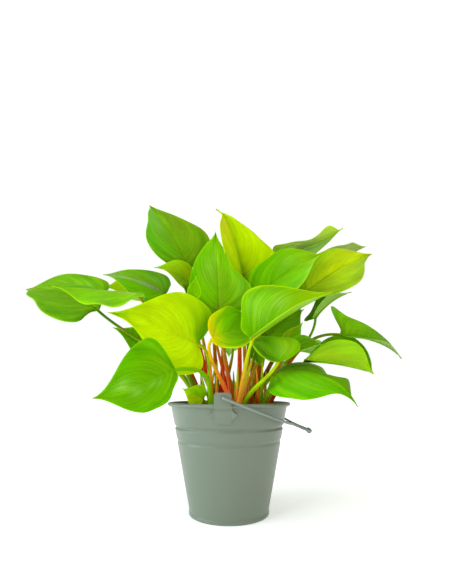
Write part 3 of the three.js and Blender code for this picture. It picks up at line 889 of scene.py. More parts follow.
@dataclass(frozen=True)
class Leaf:
    """One heart-shaped blade and its petiole.

    Attributes:
        stem: The leafy stem that it grows on.
        base: The notch, where the petiole joins the blade.
        tip: The blade's tip.
        width: The blade's width.
        face: Where the upper face looks.
        slot: The record's slot.
        halves: The colour of the half on each side of the midrib.
        stalk: The petiole's colour at its foot and at the blade.
        heel_hue_and_shade: The colour near the notch, if it differs: partly the blade's own hue there and
            partly painted shade round the notch.
        point_hue: The colour near the tip, if it differs.
        fold: How far the halves are lifted, in degrees.
        arch: How far the midrib bows up, in lengths.
        hook: How far the tip drops, in lengths.
        sway: How far the tip bends sideways, in lengths.
        bow: How far the midrib bends sideways, in lengths.
        wave: The height of the waves along the margin.
        ripples: How many waves there are.
        lobe: How far the lobes reach behind the notch, in lengths.
        belly: Where the blade is widest, in lengths.
        tugs: Stretches of the margin that are moved: a centre row, a half, a spread in rows, and how far
            the margin goes there towards the tip, outwards and upwards.
        gloss_and_painted_sheens: Glossy stretches, where the upper face is smoother and its colour is mixed
            towards a painted sheen: a centre row, a centre across, the spreads in both, and the strength.
        patches: Stretches of another hue, some of them painted shade in folds and near the notch and one a
            painted sheen: a centre row, a centre across, the spreads in both, the hue and its share.
        elbow: A point that pulls the petiole aside.
    """

    stem: str
    base: Point
    tip: Point
    width: float
    face: Point
    slot: Slot
    halves: tuple[Hue, Hue]
    stalk: tuple[Hue, Hue]
    heel_hue_and_shade: Hue | None = None
    point_hue: Hue | None = None
    fold: float = 12.0
    arch: float = 0.08
    hook: float = 0.0
    sway: float = 0.0
    bow: float = 0.0
    wave: float = 0.0
    ripples: float = 1.2
    lobe: float = 0.1
    belly: float = 0.24
    tugs: tuple[tuple[float, ...], ...] = ()
    gloss_and_painted_sheens: tuple[tuple[float, ...], ...] = ()
    patches: tuple[tuple[float, float, float, float, Hue, float], ...] = ()
    elbow: Point | None = None

    @cached_property
    def length(self) -> float:
        """The blade's length along its midrib."""
        return (Vector(self.tip) - Vector(self.base)).length

    @cached_property
    def along(self) -> Vector:
        """The way from the notch to the tip."""
        return (Vector(self.tip) - Vector(self.base)).normalized()

    @cached_property
    def normal(self) -> Vector:
        """The way that the upper face looks, square to the midrib."""
        face = Vector(self.face)
        return (face - self.along * face.dot(self.along)).normalized()

    @cached_property
    def across(self) -> Vector:
        """The way from the midrib to the second half."""
        return self.along.cross(self.normal)

    def margin(self, row: float) -> Pair:
        """A point of half of the outline.

        Args:
            row: The share of the way along the margin, from the notch to the tip.

        Returns:
            Its place along the midrib in lengths, and across it in half widths.
        """
        if row <= WIDEST:
            shoulder = [(0.0, 0.0), (-self.lobe, NOTCH_OPENING), (-self.lobe, 1.0), (self.belly, 1.0)]
            return cubic(shoulder, row / WIDEST)
        taper = (TAPER_PLACE + TAPER_SHIFT * self.belly, TAPER_HALF)
        flank = [(self.belly, 1.0), (self.belly + FLANK_RUN, 1.0), taper, (1.0, 0.0)]
        return cubic(flank, (row - WIDEST) / (1 - WIDEST))

    def tug_at(self, row: float, side: float) -> Vector:
        """How far the tugs move a point along the midrib, outwards and upwards.

        Args:
            row: The share of the way to the tip.
            side: The way across, from -1 to 1.

        Returns:
            The three moves.
        """
        moved = Vector()
        inside = min(1.0, TUG_ONSET * row, TUG_ONSET * (1 - row)) * side * side
        for centre, half, spread, ahead, out, up in self.tugs:
            if side * half > 0:
                moved += Vector((ahead, out, up)) * (inside * math.exp(-(((row - centre) / spread) ** 2)))
        return moved

    def spot(self, row: float, side: float, relief: bool = True) -> Vector:
        """A point of the blade's middle surface.

        Args:
            row: The share of the way to the tip, along a side vein's foot.
            side: The way across, from -1 at one margin to 1 at the other.
            relief: Whether the groove of the midrib and the quilting between the veins are added.

        Returns:
            The point.
        """
        margin_x, margin_q = self.margin(row)
        out = abs(side)
        rib = row**VEIN_SWEEP
        x = rib + out * (margin_x - rib)
        eta = out * margin_q
        tug = self.tug_at(row, side)
        q = eta * self.width / 2 + tug.y
        late = 0.0 if side > 0 else HALF_LAG
        ripple = self.wave * eta * eta * math.sin(math.tau * self.ripples * x + late) + tug.z
        if relief:
            ripple += self._relief(row, q, x, side)
        fold = math.radians(self.fold)
        crest = 4 * x * (1 - x) * self.length
        droop = self.hook * self.length * max(0.0, (x - HOOK_START) / (1 - HOOK_START)) ** 2
        aside = self.sway * self.length * max(0.0, (x - SWAY_START) / (1 - SWAY_START)) ** 2
        sideways = math.copysign(q, side) * math.cos(fold) + self.bow * crest + aside
        raised = q * math.sin(fold) + ripple + self.arch * crest - droop
        ahead = x * self.length + tug.x
        return Vector(self.base) + self.along * ahead + self.across * sideways + self.normal * raised

    def _relief(self, row: float, q: float, x: float, side: float) -> float:
        """The low relief of the upper face.

        Args:
            row: The share of the way to the tip, along a side vein's foot.
            q: How far from the midrib the point is.
            x: Its place along the midrib, in lengths.
            side: The way across, from -1 to 1.

        Returns:
            Its height.
        """
        out = abs(side)
        size = min(1.0, self.width / FULL_RELIEF)
        groove = -GROOVE_DEPTH * size * math.exp(-((q / GROOVE_HALF) ** 2)) * (1 - 0.7 * max(0.0, x))
        swell = math.sin(math.pi * min(1.0, out * 1.05))
        line = row - VEIN_SLANT * out**VEIN_CURVE
        quilt = QUILT_HEIGHT * size * swell * -math.cos(math.tau * QUILTS * line)
        seed = Vector((row * 2.6 + self.width, side * 1.7, self.length * 0.1))
        drift = DRIFT_HEIGHT * size * out * noise.noise(seed)
        return groove + quilt + drift

    def tint(self, row: float, side: float) -> Colour:
        """The blade's colour at a point.

        Args:
            row: The share of the way to the tip.
            side: The way across, from -1 to 1.

        Returns:
            The colour, in linear light.
        """
        x = row**VEIN_SWEEP
        first, second = self.halves
        colour = blend(first.colour, second.colour, smooth(-HALVES_BLEND, HALVES_BLEND, side))
        # Near the notch the colour is mixed towards a hue that is partly the blade's own and partly painted
        # shade.
        if self.heel_hue_and_shade:
            share = HEEL_SHARE * (1 - smooth(*HEEL_ROWS, row))
            colour = blend(colour, self.heel_hue_and_shade.colour, share)
        if self.point_hue:
            colour = blend(colour, self.point_hue.colour, smooth(*POINT_ROWS, x))
        # Most patches are the blade's own hues; some are painted shade and one is a painted sheen.
        for *spot, hue, share in self.patches:
            colour = blend(colour, hue.colour, share * nearness(row, side, spot))
        return colour

    def gleam(self, row: float, side: float) -> float:
        """How much extra gloss and painted sheen the blade has at a point.

        Args:
            row: The share of the way to the tip.
            side: The way across, from -1 to 1.

        Returns:
            The share of extra gloss and painted sheen, from 0 to 1.
        """
        glosses = [strength * nearness(row, side, spot) for *spot, strength in self.gloss_and_painted_sheens]
        return min(1.0, sum(glosses, 0.0))

    def petiole(self) -> list[Vector]:
        """Draws the petiole's centre line.

        Returns:
            Its points from the crown to the blade.
        """
        arrival = self.along * PETIOLE_REACH + self.normal * math.sqrt(1 - PETIOLE_REACH**2)
        roof = max(0.0, math.tan(math.radians(-self.fold)))
        half = CAD_BLADE / 2 / math.cos(math.radians(self.fold))
        drop = half + 2 * CLEARANCE + PETIOLE_END_RADIUS * (PETIOLE_REACH + roof)
        end = self.spot(JOINT_ROW, 0.0, relief=False) - self.normal * drop
        crown = CROWNS[self.stem]
        outward = Vector((end.x - crown[0], end.y - crown[1], 0.0)).normalized()
        foot = Vector((*crown, CROWN_TOP - PETIOLE_DEPTH)) + outward * (CROWN_RADIUS - PETIOLE_INSET)
        span = (end - foot).length
        first = foot + (UP + outward * PETIOLE_LEAN).normalized() * (PETIOLE_RISE * span)
        second = Vector(self.elbow) if self.elbow else end - arrival * (PETIOLE_LEAD * span)
        points = []
        for step in range(PETIOLE_STEPS + 1):
            t = step / PETIOLE_STEPS
            a, b, c, d = cubic_weights(t)
            lifted = self.normal * ((drop - PETIOLE_SEAT) * smooth(0.75, 1.0, t))
            points.append(foot * a + first * b + second * c + end * d + lifted)
        return points

    def midrib(self) -> list[Vector]:
        """The centre line of the rib under the blade."""
        rows = [RIB_START + RIB_LENGTH * step / RIB_STEPS for step in range(RIB_STEPS + 1)]
        return [self.spot(row, 0.0) - self.normal * (RIB_DROP - RIB_CLOSING * row) for row in rows]


# Where each stem's crown stands in the soil.
CROWNS = {
    "stem_front_left": (-14.0, -26.0),
    "stem_front": (8.0, -30.0),
    "stem_front_right": (30.0, -22.0),
    "stem_right": (38.0, 4.0),
    "stem_back_right": (22.0, 28.0),
    "stem_back_left": (-10.0, 28.0),
    "stem_left": (-26.0, 2.0),
    "stem_middle": (8.0, 0.0),
}

# Each row gives the stem, the base, the tip, the width, where the face looks, the slot, the halves' hues
# and the petiole's hues, and then what differs from a plain blade.
LEAVES = {
    "leaf_crest_left": Leaf(
        "stem_back_left", (-46, 22, 270), (-94, 40, 348), 86, (0.42, -0.86, 0.27), Slot.DEEP,
        (Hue.FRESH, Hue.LEAF), (Hue.RED, Hue.OLIVE), heel_hue_and_shade=Hue.DEEP, fold=17, lobe=0.06,
        patches=(
            (0.62, 1, 0.4, 0.08, Hue.TAN, 0.8), (1, 0, 0.05, 1, Hue.MAHOGANY, 0.5),
            (0.5, -0.1, 0.4, 0.09, Hue.OLIVE, 0.6), (0.7, 0.5, 0.3, 0.4, Hue.KHAKI, 0.85),
            (0.35, 0.45, 0.14, 0.2, Hue.KHAKI, 0.6), (0.12, 0, 0.16, 0.6, Hue.KHAKI, 0.5),
        ),
        tugs=(
            (0.62, 1, 0.18, 0, -8, 0), (0.36, 1, 0.14, 0, -4, 0), (0.28, -1, 0.14, 0, -6, 0),
            (0.87, -1, 0.12, 0, 5, 0),
        ),
        gloss_and_painted_sheens=((0.75, -0.5, 0.15, 0.3, 0.3),),
    ),
    "leaf_centre": Leaf(
        "stem_middle", (-9, -28, 207), (-14, -12, 295), 59, (0.05, -1, 0.25), Slot.GREEN,
        (Hue.FRESH, Hue.LEAF), (Hue.CORAL, Hue.OLIVE), heel_hue_and_shade=Hue.DEEP, point_hue=Hue.SPRING, fold=5,
        arch=0.04, lobe=0.05,
        patches=(
            (0.12, 0, 0.22, 0.8, Hue.PINE, 0.7), (0.28, 0.04, 0.25, 0.09, Hue.KHAKI, 0.8),
            (0.35, -0.55, 0.25, 0.2, Hue.SPRING, 0.5), (0.45, 0.35, 0.2, 0.3, Hue.MOSS, 0.6),
            (0.24, -0.95, 0.18, 0.3, Hue.PINE, 0.85), (0.62, -0.2, 0.1, 0.5, Hue.KHAKI, 0.45),
        ),
        tugs=(
            (0.8, -1, 0.2, 0, 7, 0), (0.2, 1, 0.12, 0, -4, 0), (0.66, 1, 0.1, 0, -7, 0),
            (0.4, 1, 0.11, 0, 5, 0),
        ),
        gloss_and_painted_sheens=((0.72, -0.3, 0.12, 0.3, 0.25), (0.5, 0.7, 0.12, 0.2, 0.2)),
    ),
    "leaf_crest_lime": Leaf(
        "stem_middle", (17, 20, 252), (-11, 24, 336), 74, (0.46, -0.86, 0.2), Slot.LIME,
        (Hue.LIME, Hue.LEMON), (Hue.RED, Hue.OLIVE), heel_hue_and_shade=Hue.OLIVE, fold=34, sway=-0.05, bow=0.02,
        belly=0.2,
        # The deep and khaki patches along the midrib are painted shade in the fold, and the mahogany patch is
        # a painted shadow at the foot of the first half.
        patches=(
            (0.12, 0, 0.3, 0.16, Hue.DEEP, 0.85), (0.1, -0.5, 0.16, 0.5, Hue.MAHOGANY, 0.75),
            (0.45, -0.1, 0.3, 0.1, Hue.KHAKI, 0.6), (0.8, -0.75, 0.2, 0.3, Hue.YOLK, 0.5),
            (1, 0, 0.04, 1, Hue.OLIVE, 0.7), (0.7, 1, 0.3, 0.07, Hue.TAN, 0.5),
        ),
        tugs=(
            (0.92, 1, 0.1, 0, 3, 0), (0.6, 1, 0.12, 0, -4, 0), (0.36, 1, 0.12, 0, 5, 0),
            (0.76, -1, 0.15, 0, 14, 0), (0.55, -1, 0.14, 0, 6, 0),
        ),
    ),
    "leaf_crest_right": Leaf(
        "stem_back_right", (55, 45, 288), (141, 60, 328.5), 66, (-0.15, 0.12, 1), Slot.GREEN,
        (Hue.YOUNG, Hue.LIME), (Hue.RUST, Hue.OLIVE), fold=4, arch=-0.02, hook=-0.02, wave=3,
        # The silver patch is a painted sheen that lightens the underside, which faces away from the lights.
        patches=(
            (0.55, 0.2, 0.18, 0.8, Hue.SILVER, 0.8), (1, 0, 0.1, 1, Hue.OLIVE, 0.6),
            (0.2, 0, 0.2, 1, Hue.LEAF, 0.5),
        ),
        tugs=(
            (0.2, 1, 0.12, 0, 6, 4), (0.5, 1, 0.15, 0, -9, -4), (0.81, 1, 0.13, 0, 8, 5),
            (0.72, -1, 0.22, 0, 19, -6),
        ),
    ),
    "leaf_upper_right": Leaf(
        "stem_middle", (27, -8, 225), (105, 10, 281), 78, (-0.3, -0.9, 0.35), Slot.GREEN,
        (Hue.FRESH, Hue.FRESH), (Hue.AMBER, Hue.LEAF), point_hue=Hue.YOUNG, fold=26,
        # The moss patch near the notch is painted shade.
        patches=(
            (0.12, -0.6, 0.12, 0.4, Hue.MOSS, 0.6), (0.85, 0, 0.3, 1.2, Hue.YOUNG, 0.3),
            (0.5, 1, 0.4, 0.12, Hue.YOUNG, 0.6), (0.6, 0.06, 0.5, 0.05, Hue.MOSS, 0.5),
        ),
        tugs=(
            (0.12, -1, 0.08, -8, 0, 0), (0.3, -1, 0.16, 2, -12, 0), (0.52, -1, 0.13, 0, -11, 0),
            (0.8, -1, 0.1, 0, 3, 0),
        ),
        gloss_and_painted_sheens=((0.7, -0.3, 0.1, 0.3, 0.25),),
    ),
    "leaf_right_lime": Leaf(
        "stem_right", (84, 10, 239), (170, 45, 292), 66, (0, -0.85, 0.53), Slot.LIME,
        (Hue.OLIVE, Hue.OLIVE), (Hue.CORAL, Hue.OLIVE), heel_hue_and_shade=Hue.OLIVE, fold=14,
        belly=0.34,
        patches=(
            (0.85, -0.45, 0.25, 0.8, Hue.ZEST, 1), (0.6, -0.05, 0.3, 0.25, Hue.ZEST, 0.9),
            (0.24, -0.8, 0.18, 0.4, Hue.MOSS, 0.9), (0.14, -0.4, 0.12, 0.3, Hue.KHAKI, 0.6),
            (1, 0, 0.06, 1, Hue.TAN, 0.5), (0.6, 0.5, 0.5, 0.4, Hue.LIME, 0.4),
            (0.6, 0.06, 0.5, 0.04, Hue.MOSS, 0.7),
        ),
        tugs=(
            (0.48, -1, 0.18, 0, -5, 0), (0.45, 1, 0.1, 0, 4, 0), (0.2, 1, 0.15, 0, -6, 0),
            (0.72, 1, 0.1, 0, -3, 0),
        ),
    ),
    "leaf_right_back": Leaf(
        "stem_back_right", (86, 50, 251), (169, 62, 308), 60, (-0.2, 0.5, 1), Slot.GREEN,
        (Hue.LEAF, Hue.OLIVE), (Hue.MAHOGANY, Hue.OLIVE), fold=8,
        patches=((0.8, 0, 0.3, 1.2, Hue.MAUVE, 0.7),),
        tugs=((0.82, 1, 0.18, 0, 4, 1), (0.93, 1, 0.07, 1, 4, 2), (0.5, 1, 0.15, 0, -4, 0)),
    ),
    "leaf_front_right": Leaf(
        "stem_front", (19, -62, 177), (100, -40, 226), 82, (-0.37, -0.7, 0.6), Slot.GREEN,
        (Hue.SPRING, Hue.YOUNG), (Hue.AMBER, Hue.LIME), heel_hue_and_shade=Hue.SPRING, point_hue=Hue.YOUNG, fold=42,
        arch=0.03, lobe=-0.05, belly=0.27,
        patches=(
            (0.6, -1, 0.5, 0.05, Hue.LIME, 0.8), (0.92, 0, 0.25, 1, Hue.LIME, 0.7),
            (0.1, -0.3, 0.12, 0.3, Hue.FRESH, 0.5), (0.3, -0.3, 0.12, 0.3, Hue.FRESH, 0.5),
        ),
        tugs=((0.6, -1, 0.2, 0, -3, 0), (0.12, -1, 0.08, -5, 2, 0)),
        gloss_and_painted_sheens=((0.42, -0.5, 0.1, 0.35, 0.45), (0.6, -0.45, 0.08, 0.3, 0.5)),
    ),
    "leaf_front_small": Leaf(
        "stem_front", (-15, -50, 180), (40, -30, 197), 42, (0, -1, 0.15), Slot.GREEN,
        (Hue.FRESH, Hue.LEAF), (Hue.CORAL, Hue.YOLK), heel_hue_and_shade=Hue.YOLK, fold=10, lobe=0.06,
        patches=(
            (0.2, -1, 0.22, 0.2, Hue.YOLK, 0.9), (0.5, 1, 0.5, 0.12, Hue.ZEST, 0.8),
            (0.12, -0.6, 0.12, 0.2, Hue.AMBER, 0.4), (0.45, 0, 0.3, 0.4, Hue.MOSS, 0.4),
        ),
        tugs=((0.3, 1, 0.2, 0, -6, 0), (0.3, -1, 0.15, 0, 2, 0), (0.55, -1, 0.1, 0, 4, 0)),
    ),
    "leaf_front_lime": Leaf(
        "stem_front_left", (-32, -38, 177), (-110, -62, 201), 80, (-0.1, -1, 0.3), Slot.LIME,
        (Hue.LEMON, Hue.LIME), (Hue.YOUNG, Hue.LEMON), fold=8, lobe=0.14, elbow=(-10, -8, 172),
        # The fresh and leaf-green patches on the second half near the notch are partly its greener hue and
        # partly painted shade in its fold.
        patches=(
            (0.14, 0.8, 0.26, 0.5, Hue.FRESH, 0.9), (0.1, 0.45, 0.18, 0.3, Hue.FRESH, 0.9),
            (0.22, 0.3, 0.1, 0.12, Hue.LEAF, 0.7), (0.6, 0.2, 0.3, 0.6, Hue.ZEST, 0.3),
            (0.05, -0.5, 0.1, 0.4, Hue.YOUNG, 0.5), (1, 0, 0.12, 1, Hue.FRESH, 0.7),
        ),
        tugs=((0.24, 1, 0.12, -3, 6, 0), (0.2, -1, 0.12, -5, 2, -2), (0.74, -1, 0.18, 0, -7, 0)),
    ),
    "leaf_front_low": Leaf(
        "stem_front_left", (-48, -66, 150), (-113, -92, 124), 66, (0, -1, 0.1), Slot.GREEN,
        (Hue.FRESH, Hue.FRESH), (Hue.YOUNG, Hue.SPRING), fold=10, bow=-0.06, lobe=-0.03, belly=0.3,
        elbow=(-12, -34, 157),
        patches=(
            (0.12, 0, 0.18, 0.06, Hue.DEEP, 0.8), (1, 0, 0.03, 1, Hue.RUST, 0.5),
            (0.35, 0.4, 0.25, 0.4, Hue.MOSS, 0.6), (0.6, -0.45, 0.25, 0.5, Hue.MOSS, 0.5),
        ),
        tugs=(
            (0.33, 1, 0.12, 0, 4, 0), (0.1, -1, 0.06, -1, 1, 0), (0.26, -1, 0.1, 4, -3, 0),
            (0.46, -1, 0.16, 6, -8, 0), (0.78, -1, 0.12, 0, 3, 0),
        ),
        gloss_and_painted_sheens=((0.78, 0.3, 0.06, 0.22, 0.9), (0.7, -0.15, 0.05, 0.2, 0.6), (0.5, -0.12, 0.08, 0.1, 0.4)),
    ),
    "leaf_far_left": Leaf(
        "stem_left", (-137, -10, 215), (-231, 25, 245), 76, (-0.2, -0.75, 0.6), Slot.DEEP,
        (Hue.MOSS, Hue.MOSS), (Hue.OLIVE, Hue.DEEP), fold=12, bow=0.03, lobe=0.05,
        patches=(
            (0.98, 0, 0.06, 1, Hue.TAN, 0.7), (0.6, -1, 0.5, 0.05, Hue.YOUNG, 0.5),
            (0.8, 0.7, 0.2, 0.5, Hue.LEAF, 0.6), (0.5, 1, 0.5, 0.06, Hue.TAN, 0.4),
            (0.12, -0.3, 0.15, 0.6, Hue.DEEP, 0.6), (0.5, 0, 0.4, 0.05, Hue.DEEP, 0.6),
        ),
        tugs=(
            (0.14, 1, 0.07, 9, 9, 0), (0.26, 1, 0.1, 2, 5, 0), (0.5, 1, 0.16, 0, -8, 0),
            (0.8, 1, 0.12, 0, 3, 0), (0.86, -1, 0.12, 3, 7, 0), (0.6, -1, 0.16, 0, 2, 0),
            (0.14, -1, 0.09, 10, -2, 0),
        ),
        gloss_and_painted_sheens=((0.45, 0.5, 0.1, 0.2, 0.2),),
    ),
    "leaf_left_shelf": Leaf(
        "stem_left", (-87, -36, 226), (-167, -50, 228.5), 60, (0, -0.36, 0.93), Slot.GREEN,
        (Hue.SPRING, Hue.FRESH), (Hue.KHAKI, Hue.OLIVE), fold=-26, arch=0, wave=3, ripples=2,
        patches=(
            (0.1, 0, 0.35, 0.14, Hue.MAUVE, 0.85), (0.55, -1, 0.5, 0.1, Hue.YOUNG, 0.7),
            (0.75, 0.2, 0.2, 0.3, Hue.OLIVE, 0.5), (0.3, 0.4, 0.25, 0.5, Hue.LIME, 0.5),
        ),
        tugs=((0.74, -1, 0.14, 0, 5, -2), (0.34, -1, 0.16, 0, -8, 3), (0.75, 1, 0.2, 0, 5, 8)),
    ),
    "leaf_left_folded": Leaf(
        "stem_left", (-71, 12, 237), (-136, 2, 255), 46, (0, -0.85, 0.5), Slot.GREEN,
        (Hue.FRESH, Hue.LEAF), (Hue.RUST, Hue.OLIVE), fold=-6, arch=0.1,
        patches=(
            (0.5, 0, 0.7, 0.1, Hue.MAUVE, 0.9), (0.95, 0, 0.1, 1, Hue.MAUVE, 0.7),
            (0.4, 0.6, 0.15, 0.3, Hue.SPRING, 0.4),
        ),
        tugs=(
            (0.8, 1, 0.12, 0, 3, 0), (0.32, 1, 0.12, 0, 7, 0), (0.14, 1, 0.07, 1, 8, 0),
            (0.14, -1, 0.1, -2, 5, 0),
        ),
        gloss_and_painted_sheens=((0.4, 0.55, 0.12, 0.25, 0.5),),
    ),
    "leaf_left_inner": Leaf(
        "stem_back_left", (-94, 30, 247), (-141, 20, 246), 40, (0, -1, 0.3), Slot.LIME,
        (Hue.LIME, Hue.LIME), (Hue.RUST, Hue.LIME), fold=10,
    ),
    "leaf_left_hooked": Leaf(
        "stem_back_left", (-42, 1, 244), (-79, -6, 260), 36, (-0.2, -0.8, 0.6), Slot.LIME,
        (Hue.OLIVE, Hue.YOUNG), (Hue.RUST, Hue.LIME), fold=16, arch=0.14,
        patches=((0.3, 0.6, 0.3, 0.4, Hue.YOLK, 0.4), (0.7, 0, 0.4, 1, Hue.OLIVE, 0.7)),
        tugs=((0.66, -1, 0.24, 0, -4, 1), (0.75, 1, 0.15, 0, 4, 0)),
    ),
    # The dark hues of this leaf are painted shade.
    "leaf_heart_shade": Leaf(
        "stem_middle", (-25, -15, 222), (-50, -21, 240), 28, (0, -1, 0.3), Slot.DEEP, (Hue.PINE, Hue.DEEP),
        (Hue.RED, Hue.OLIVE), fold=12,
        tugs=((0.55, 1, 0.25, 0, 4, 0),),
    ),
    "leaf_heart_young": Leaf(
        "stem_front_left", (-35, -38.5, 220), (-32, -38.5, 242), 14, (0.3, -0.9, 0), Slot.GREEN,
        (Hue.SPRING, Hue.SPRING), (Hue.YOUNG, Hue.SPRING), fold=10,
    ),
    "leaf_left_under": Leaf(
        "stem_left", (-72, 22, 171), (-127, 8, 199), 50, (-0.1, -0.9, 0.4), Slot.GREEN,
        (Hue.LEAF, Hue.SPRING), (Hue.OLIVE, Hue.LEAF), fold=8,
    ),
    "leaf_rim_young": Leaf(
        "stem_front_left", (-26, -34, 122), (-46, -34, 132), 24, (0, -1, 0.2), Slot.GREEN,
        (Hue.LIME, Hue.YOUNG), (Hue.YOUNG, Hue.YOUNG), fold=12,
    ),
    "leaf_right_low": Leaf(
        "stem_front_right", (47, -36, 147), (115.5, -70, 124), 54, (0.05, -0.72, 0.66), Slot.GREEN,
        (Hue.MOSS, Hue.FRESH), (Hue.OLIVE, Hue.SPRING), fold=-20, arch=0.16, hook=0.14, belly=0.46,
        patches=((0.5, -1, 0.5, 0.12, Hue.MAUVE, 0.8), (0.3, -0.5, 0.2, 0.4, Hue.DEEP, 0.6)),
        tugs=(
            (0.34, 1, 0.14, 0, 4, 0), (0.7, 1, 0.15, 0, -5, 0), (0.56, -1, 0.1, 0, -13, -4),
            (0.28, -1, 0.12, 0, 2, 3), (0.78, -1, 0.07, 0, 4, 3), (0.92, -1, 0.07, 0, -4, 0),
        ),
        gloss_and_painted_sheens=((0.5, 0.5, 0.12, 0.3, 0.15),),
    ),
    "leaf_right_keel": Leaf(
        "stem_right", (78, -12, 162), (149, -16, 148), 62, (0, -0.1, 1), Slot.LIME, (Hue.SPRING, Hue.YOUNG),
        (Hue.RUST, Hue.BARK), fold=48, arch=0.04, lobe=-0.12, belly=0.5,
        # The moss patch on the first half is painted shade on the far side of the keel.
        patches=(
            (0.8, -0.8, 0.3, 0.6, Hue.MOSS, 0.45), (0.9, 1, 0.3, 0.3, Hue.LIME, 0.4),
            (0.5, 0.3, 0.4, 0.3, Hue.LIME, 0.5),
        ),
        tugs=((0.55, -1, 0.2, 0, 6, 4), (0.78, -1, 0.18, 4, 6, 4)),
    ),
    "leaf_far_right": Leaf(
        "stem_right", (117, -15, 188), (199, 30, 167), 62, (0.55, -0.55, 0.65), Slot.DEEP,
        (Hue.LEAF, Hue.MOSS), (Hue.MAHOGANY, Hue.OLIVE), fold=32, belly=0.06, elbow=(86, 26, 203),
        patches=((0.95, 0, 0.16, 1, Hue.MAUVE, 0.85), (0.5, -1, 0.5, 0.08, Hue.MAUVE, 0.4)),
        tugs=(
            (0.5, -1, 0.16, 0, -10, 0), (0.7, -1, 0.14, 0, -5, 0), (0.27, -1, 0.1, -9, 9, 0),
            (0.12, -1, 0.07, 6, 0, 0),
        ),
    ),
    "leaf_right_upper": Leaf(
        "stem_back_right", (98, 30, 213), (144, 40, 246), 44, (-0.4, -0.2, 0.9), Slot.DEEP,
        (Hue.DEEP, Hue.LEAF), (Hue.OLIVE, Hue.LEAF), fold=35,
        tugs=((0.38, -1, 0.15, 0, -11, 0), (0.15, -1, 0.1, -6, 0, 0)),
    ),
    "leaf_right_inner": Leaf(
        "stem_front_right", (62, -32, 175), (92, -40, 174), 28, (0.1, -0.6, 0.8), Slot.DEEP,
        (Hue.LEAF, Hue.LEAF), (Hue.RUST, Hue.LEAF), fold=10, elbow=(56, -4, 163),
        tugs=((0.6, 1, 0.25, 0, 8, 0),),
    ),
    "leaf_front_cupped": Leaf(
        "stem_front", (47, -55, 158), (27, -20, 186), 46, (-0.1, -0.47, 0.88), Slot.LIME,
        (Hue.SPRING, Hue.FRESH), (Hue.YOUNG, Hue.LIME), fold=24, elbow=(36, -54, 138),
        patches=(
            (0.35, -0.7, 0.22, 0.35, Hue.PINE, 0.85), (0.3, -0.35, 0.15, 0.15, Hue.DEEP, 0.6),
            (0.4, 0.6, 0.3, 0.4, Hue.LIME, 0.5), (0.5, -1, 0.5, 0.07, Hue.YOUNG, 0.8),
        ),
        tugs=((0.34, 1, 0.16, -2, 4, -1), (0.62, 1, 0.18, 0, -6, 0)),
        gloss_and_painted_sheens=((0.4, 0.3, 0.15, 0.4, 0.4),),
    ),
    "leaf_right_tongue": Leaf(
        "stem_right", (60, -15, 175), (78, -6, 202), 19, (-0.3, -0.9, 0.2), Slot.LIME,
        (Hue.OLIVE, Hue.SPRING), (Hue.OLIVE, Hue.OLIVE), fold=20,
    ),
    # The dark hues of this leaf are painted shade.
    "leaf_right_shade": Leaf(
        "stem_middle", (42, 5, 187), (84, 18, 221), 56, (-0.2, -0.9, 0.4), Slot.DEEP, (Hue.DEEP, Hue.MOSS),
        (Hue.AMBER, Hue.OLIVE), fold=12,
    ),
    # The dark hues of this leaf are painted shade.
    "leaf_front_hanging": Leaf(
        "stem_front", (24, -28, 178), (32, -28, 154), 24, (-0.2, -0.95, 0.2), Slot.DEEP,
        (Hue.MOSS, Hue.DEEP), (Hue.RUST, Hue.LEAF), fold=14,
        tugs=((0.65, -1, 0.22, 0, 6, 0), (0.4, 1, 0.2, 0, -4, 0)),
    ),
    "leaf_back_left_high": Leaf(
        "stem_back_left", (-20, 60, 235), (-60, 125, 255), 70, (0, 0.3, 1), Slot.GREEN,
        (Hue.FRESH, Hue.FRESH), (Hue.RUST, Hue.OLIVE), fold=14,
    ),
    "leaf_back_high": Leaf(
        "stem_back_right", (18, 68, 230), (34, 138, 238), 70, (0, 0.3, 1), Slot.LIME, (Hue.LIME, Hue.LIME),
        (Hue.RED, Hue.LIME), fold=14,
    ),
    "leaf_back_right_high": Leaf(
        "stem_back_right", (50, 65, 222), (100, 122, 226), 66, (0.1, 0.4, 1), Slot.GREEN,
        (Hue.SPRING, Hue.FRESH), (Hue.RUST, Hue.OLIVE), fold=14,
    ),
    "leaf_back_right_low": Leaf(
        "stem_back_right", (72, 58, 178), (132, 104, 170), 60, (0.2, 0.3, 1), Slot.DEEP,
        (Hue.LEAF, Hue.MOSS), (Hue.MAHOGANY, Hue.OLIVE), fold=14,
    ),
    "leaf_back_left_far": Leaf(
        "stem_left", (-62, 48, 188), (-122, 88, 190), 62, (-0.2, 0.4, 1), Slot.GREEN,
        (Hue.FRESH, Hue.LEAF), (Hue.RUST, Hue.OLIVE), fold=14,
    ),
    "leaf_back_left_low": Leaf(
        "stem_back_left", (-40, 68, 168), (-82, 126, 150), 64, (-0.2, 0.6, 1), Slot.DEEP,
        (Hue.MOSS, Hue.LEAF), (Hue.MAHOGANY, Hue.OLIVE), fold=14,
    ),
    "leaf_back_crest": Leaf(
        "stem_back_left", (-5, 55, 252), (-8, 92, 320), 64, (0, 1, 0.4), Slot.LIME, (Hue.LIME, Hue.YOUNG),
        (Hue.RED, Hue.LIME), fold=12,
    ),
    "leaf_back_middle": Leaf(
        "stem_back_right", (36, 72, 200), (62, 134, 186), 62, (0.1, 0.45, 1), Slot.GREEN,
        (Hue.SPRING, Hue.FRESH), (Hue.RUST, Hue.OLIVE), fold=14,
    ),
    "leaf_back_low": Leaf(
        "stem_back_left", (5, 68, 185), (0, 132, 178), 60, (0, 0.6, 1), Slot.GREEN, (Hue.FRESH, Hue.LEAF),
        (Hue.RUST, Hue.OLIVE), fold=14,
    ),
}


